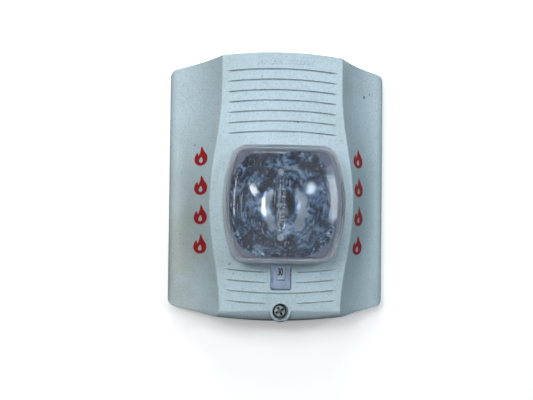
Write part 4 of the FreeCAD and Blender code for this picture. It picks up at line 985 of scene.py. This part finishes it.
def make_lens():
    """The clear lens: a flange at its base, an outer and an inner skin, joined into one closed wall."""
    count = len(lens_outline(0))
    flange = [[(x, depth, z) for x, z in lens_outline(LENS_FLANGE)]
              for depth in (LENS_REAR, LENS_REAR + LENS_FLANGE)]
    outer = flange + lens_skin(0, LENS_FRONT, LENS_REAR + LENS_FLANGE + 0.1, LENS_SHOULDER)
    inner = lens_skin(-LENS_WALL, LENS_FRONT - LENS_WALL, LENS_REAR, LENS_SHOULDER - 1.6)
    rings = outer + list(reversed(inner))
    points = [point for ring in rings for point in ring]
    faces = ring_faces(len(rings), count, True)
    lens = make_object("lens_shell", points, faces, "head", MATERIALS["lens_clear"], 60)
    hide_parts("strobe_lens")


def make_reflector():
    """The plated dish, with its flange, worn to bare plastic at its corners, and a skirt that stands inside the
    lens.
    """
    rim_depth = -reflector_low.y
    outline = lens_outline(0)
    count = len(outline)
    angles = [math.atan2(z - LENS_Z, x) for x, z in outline]

    def dish_ring(share):
        radius = DISH_FLOOR_RADIUS + (DISH_RIM_RADIUS - DISH_FLOOR_RADIUS) * share
        depth = DISH_BACK + (rim_depth - DISH_BACK) * share ** 2
        return [(radius * math.cos(a), depth, LENS_Z + radius * math.sin(a)) for a in angles]

    flange = [[(x, rim_depth - 11.5, z) for x, z in lens_outline(-2.3)],
              [(x, rim_depth - 0.3, z) for x, z in lens_outline(-2.3)],
              [(x, rim_depth, z) for x, z in lens_outline(-2.6)],
              dish_ring(1.0)]
    dish = [dish_ring(share) for share in np.linspace(1.0, 0.0, 22)]
    dish.append([(1.3 * math.cos(a), DISH_BACK, LENS_Z + 1.3 * math.sin(a)) for a in angles])
    for name, rings, material in (("reflector_flange", flange, MATERIALS["flange_plating"]),
                                  ("reflector_dish", dish, MATERIALS["plated_reflector"])):
        points = [point for ring in rings for point in ring]
        piece = make_object(name, points, ring_faces(len(rings), count), "head", material, 40)
        thick = piece.modifiers.new("wall", "SOLIDIFY")
        thick.thickness = DISH_WALL * MM
        thick.offset = -1
        if name == "reflector_dish":
            cut(piece, [prism("cut_lead", circle(0, LENS_Z + side * LEAD_Z, 1.6), 10, 38)
                        for side in (-1, 1)], 40)
        else:
            apply_modifiers(piece, 40)
        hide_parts("reflector")


# ---- printed marks ----
FLAME = [(0.03, 0.50), (0.16, 0.25), (0.30, 0.02), (0.32, -0.20), (0.22, -0.41), (0.0, -0.50),
         (-0.22, -0.42), (-0.33, -0.20), (-0.28, 0.04), (-0.17, 0.18), (-0.12, 0.02), (-0.03, 0.24)]
FLAME_HOLE = [(0.02, -0.04), (0.08, -0.18), (0.09, -0.28), (0.0, -0.35), (-0.09, -0.28), (-0.08, -0.18)]
MARK_HEIGHT = 10.4
MARK_HALF_SPAN = 5.2
MARK_ROWS = [16.3, 0.6, -15.0, -30.7]
MARK_X = 42.6

BAR_GROUPS = (2, 3, 5)
BAR_START_X = -13.2
BAR_Z = 66.0
BAR_WIDTH = 1.5
BAR_HALF_HEIGHT = 1.1
BAR_PITCH = 2.2
GROUP_GAP = 2.6


def closed_curve(corners, steps=6):
    """A smooth closed curve through the corners."""
    count = len(corners)
    points = []
    for index in range(count):
        a, b, c, d = (Vector(corners[(index + k) % count]) for k in (-1, 0, 1, 2))
        for step in range(steps):
            t = step / steps
            points.append(0.5 * ((2 * b) + (c - a) * t + (2 * a - 5 * b + 4 * c - d) * t * t
                                 + (3 * b - a - 3 * c + d) * t ** 3))
    return points


def make_flame(name, centre_x, centre_z):
    """A generic flame printed on the wing: a thin film that follows the wing's curve."""
    work = bmesh.new()
    edges = []
    for loop in (closed_curve(FLAME), closed_curve(FLAME_HOLE)):
        verts = [work.verts.new((point.x * MARK_HALF_SPAN * 2, 0, point.y * MARK_HEIGHT)) for point in loop]
        edges += [work.edges.new((verts[k], verts[(k + 1) % len(verts)])) for k in range(len(verts))]
    bmesh.ops.triangle_fill(work, use_beauty=True, edges=edges, normal=(0, -1, 0))
    for step in np.arange(-3.5, 3.6, 0.5):
        geometry = work.verts[:] + work.edges[:] + work.faces[:]
        bmesh.ops.bisect_plane(work, geom=geometry, plane_co=(step, 0, 0), plane_no=(1, 0, 0))
    for vert in work.verts:
        x = centre_x + vert.co.x
        z = centre_z + vert.co.z
        vert.co = (x * MM, -(surface_depth(x, z) + 0.05) * MM, z * MM)
    for face in work.faces:
        if face.normal.y > 0:
            face.normal_flip()
    mesh = bpy.data.meshes.new(name)
    work.to_mesh(mesh)
    work.free()
    film = finish_object(name, mesh, "head", MATERIALS["red_ink"])
    thick = film.modifiers.new("film", "SOLIDIFY")
    thick.thickness = 0.06 * MM
    thick.offset = 0
    apply_modifiers(film)


def make_flames():
    for side, word in ((-1, "left"), (1, "right")):
        for index, z in enumerate(MARK_ROWS):
            make_flame(f"flame_mark_{word}_{index + 1}", side * MARK_X, z)


def make_raised_marks():
    """Three groups of plain raised bars on the top band."""
    points = []
    faces = []
    x = BAR_START_X
    for group in BAR_GROUPS:
        for _ in range(group):
            z = BAR_Z - (HALF_HEIGHT - float(top_edge(np.array(x))))
            surface = surface_depth(x + BAR_WIDTH / 2, z)
            first = len(points)
            for depth, inset in ((surface - 0.2, 0), (surface + 0.22, 0), (surface + 0.32, 0.12)):
                left, right = x + inset, x + BAR_WIDTH - inset
                bottom, top = z - BAR_HALF_HEIGHT + inset, z + BAR_HALF_HEIGHT - inset
                points += [(left, depth, bottom), (right, depth, bottom), (right, depth, top),
                           (left, depth, top)]
            for ring in (0, 4):
                for k in range(4):
                    after = (k + 1) % 4
                    faces.append([first + ring + k, first + ring + after, first + ring + 4 + after,
                                  first + ring + 4 + k])
            faces.append([first + 8, first + 9, first + 10, first + 11])
            faces.append([first + 3, first + 2, first + 1, first])
            x += BAR_PITCH
        x += GROUP_GAP
    marks = make_object("raised_marks", points, faces, "head", MATERIALS["housing_white"], 20)


# ---- candela numbers ----
NUMBERS = ("15", "30", "75", "95", "110", "115")
NUMBER_PITCH = 5.0
NUMBER_Z = -45.0
NUMBER_HEIGHT = 5.4
NUMBER_BOLDNESS = 0.14
TWO_DIGIT_SQUEEZE = 0.54
THREE_DIGIT_SQUEEZE = 0.42


def make_numbers():
    """The candela values printed on the slide's scale; 30 shows in the window at rest."""
    face = -scale_low.y
    for index, value in enumerate(NUMBERS):
        data = bpy.data.curves.new("number_" + value, "FONT")
        data.body = value
        data.align_x = "CENTER"
        data.align_y = "CENTER"
        data.size = NUMBER_HEIGHT * MM
        data.space_character = 0.92
        data.extrude = 0.02 * MM
        data.offset = NUMBER_BOLDNESS * MM
        text = link("number_" + value, data)
        text.rotation_euler = (math.radians(90), 0, 0)
        text.scale = (TWO_DIGIT_SQUEEZE if len(value) == 2 else THREE_DIGIT_SQUEEZE, 1, 1)
        text.location = ((index - 1) * NUMBER_PITCH * MM, -(face + 0.03) * MM, NUMBER_Z * MM)
        data.materials.append(MATERIALS["black_ink"])
        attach(text, "slide")


# ---- screw ----
HEAD_HEIGHT = 2.6
HEAD_RADIUS = 3.5
SHANK_RADIUS = 1.75
THREAD_ROOT = 1.42
THREAD_PITCH = 0.794
CROSS_HALF_WIDTH = 0.62
CROSS_REACH = 2.45
CROSS_DEPTH = 1.7
CROSS_TURN = 28          # degrees


def make_screw():
    """The captive screw: domed head with a cross recess, and a shank with thread rings."""
    top = -screw_low.y
    tip = -screw_high.y
    under = top - HEAD_HEIGHT
    profile = [(0.02, top)]
    for k in range(1, 9):
        angle = math.pi / 2 * k / 8
        radius = HEAD_RADIUS - 1.4 + 1.4 * math.sin(angle) if k > 2 else 0.8 * k
        profile.append((radius, top - 1.3 * (1 - math.cos(angle))))
    profile += [(HEAD_RADIUS, under + 0.25), (HEAD_RADIUS - 0.2, under), (SHANK_RADIUS, under)]
    turns = int((under - tip - 1.0) / THREAD_PITCH)
    for turn in range(turns):
        crest = under - 0.8 - turn * THREAD_PITCH
        profile += [(1.74, crest), (1.74, crest - 0.12)]
        profile += [(THREAD_ROOT, crest - 0.38), (THREAD_ROOT, crest - 0.5)]
    profile += [(1.4, tip + 0.5), (1.0, tip), (0.02, tip)]
    screw = lathe("captive_screw", profile, 0, SCREW_Z, "screw", MATERIALS["plated_steel"], 48, False, 30)
    wide = CROSS_HALF_WIDTH
    far = CROSS_REACH
    arm = [(far, -wide), (far, wide), (wide, wide)]
    cross = arm + [(-z, x) for x, z in arm] + [(-x, -z) for x, z in arm] + [(z, -x) for x, z in arm]
    lean = math.radians(CROSS_TURN)
    cross = [(x * math.cos(lean) - z * math.sin(lean), SCREW_Z + x * math.sin(lean) + z * math.cos(lean))
             for x, z in cross]
    cut(screw, [prism("cut_cross", cross, top - CROSS_DEPTH, top + 1)], 30)
    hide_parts("mounting_screw")


# ---- hooks seen from behind ----
HOOK_INNER = 1.55
HOOK_OUTER = 3.15
HOOK_X = 18.0
HOOK_HALF_WIDTH = 5.0


def make_hooks():
    """The two hooks that hang the head on the mounting plate's bars."""
    hinge = frame["joints"][0]["pos_m"]
    depth0 = -hinge[1] / MM
    z0 = hinge[2] / MM
    outline = [(HOOK_OUTER, -2.5), (HOOK_OUTER, 3.0), (0.4, 3.6)]
    outline += [(HOOK_OUTER * math.cos(a), HOOK_OUTER * math.sin(a))
                for a in np.linspace(math.radians(100), math.pi, 9)]
    outline += [(-HOOK_INNER, 0)]
    outline += [(HOOK_INNER * math.cos(a), HOOK_INNER * math.sin(a))
                for a in np.linspace(math.pi, 0, 13)[1:]]
    outline += [(HOOK_INNER, -2.5)]
    count = len(outline)
    ends = [list(range(count)), list(range(4 * count - 1, 3 * count - 1, -1))]
    for word, centre in (("left", -HOOK_X), ("right", HOOK_X)):
        points = []
        for reach in (-HOOK_HALF_WIDTH, -HOOK_HALF_WIDTH + 0.3, HOOK_HALF_WIDTH - 0.3, HOOK_HALF_WIDTH):
            points += [(centre + reach, depth0 + d, z0 + z) for d, z in outline]
        hook = make_object("hook_" + word, points, ring_faces(4, count) + ends, "head",
                           MATERIALS["housing_white"], 35)


dress_cad_nodes()
make_camera()
make_stage()
make_housing()
make_screw_boss()
make_lens()
make_reflector()
make_flames()
make_raised_marks()
make_numbers()
make_screw()
make_hooks()
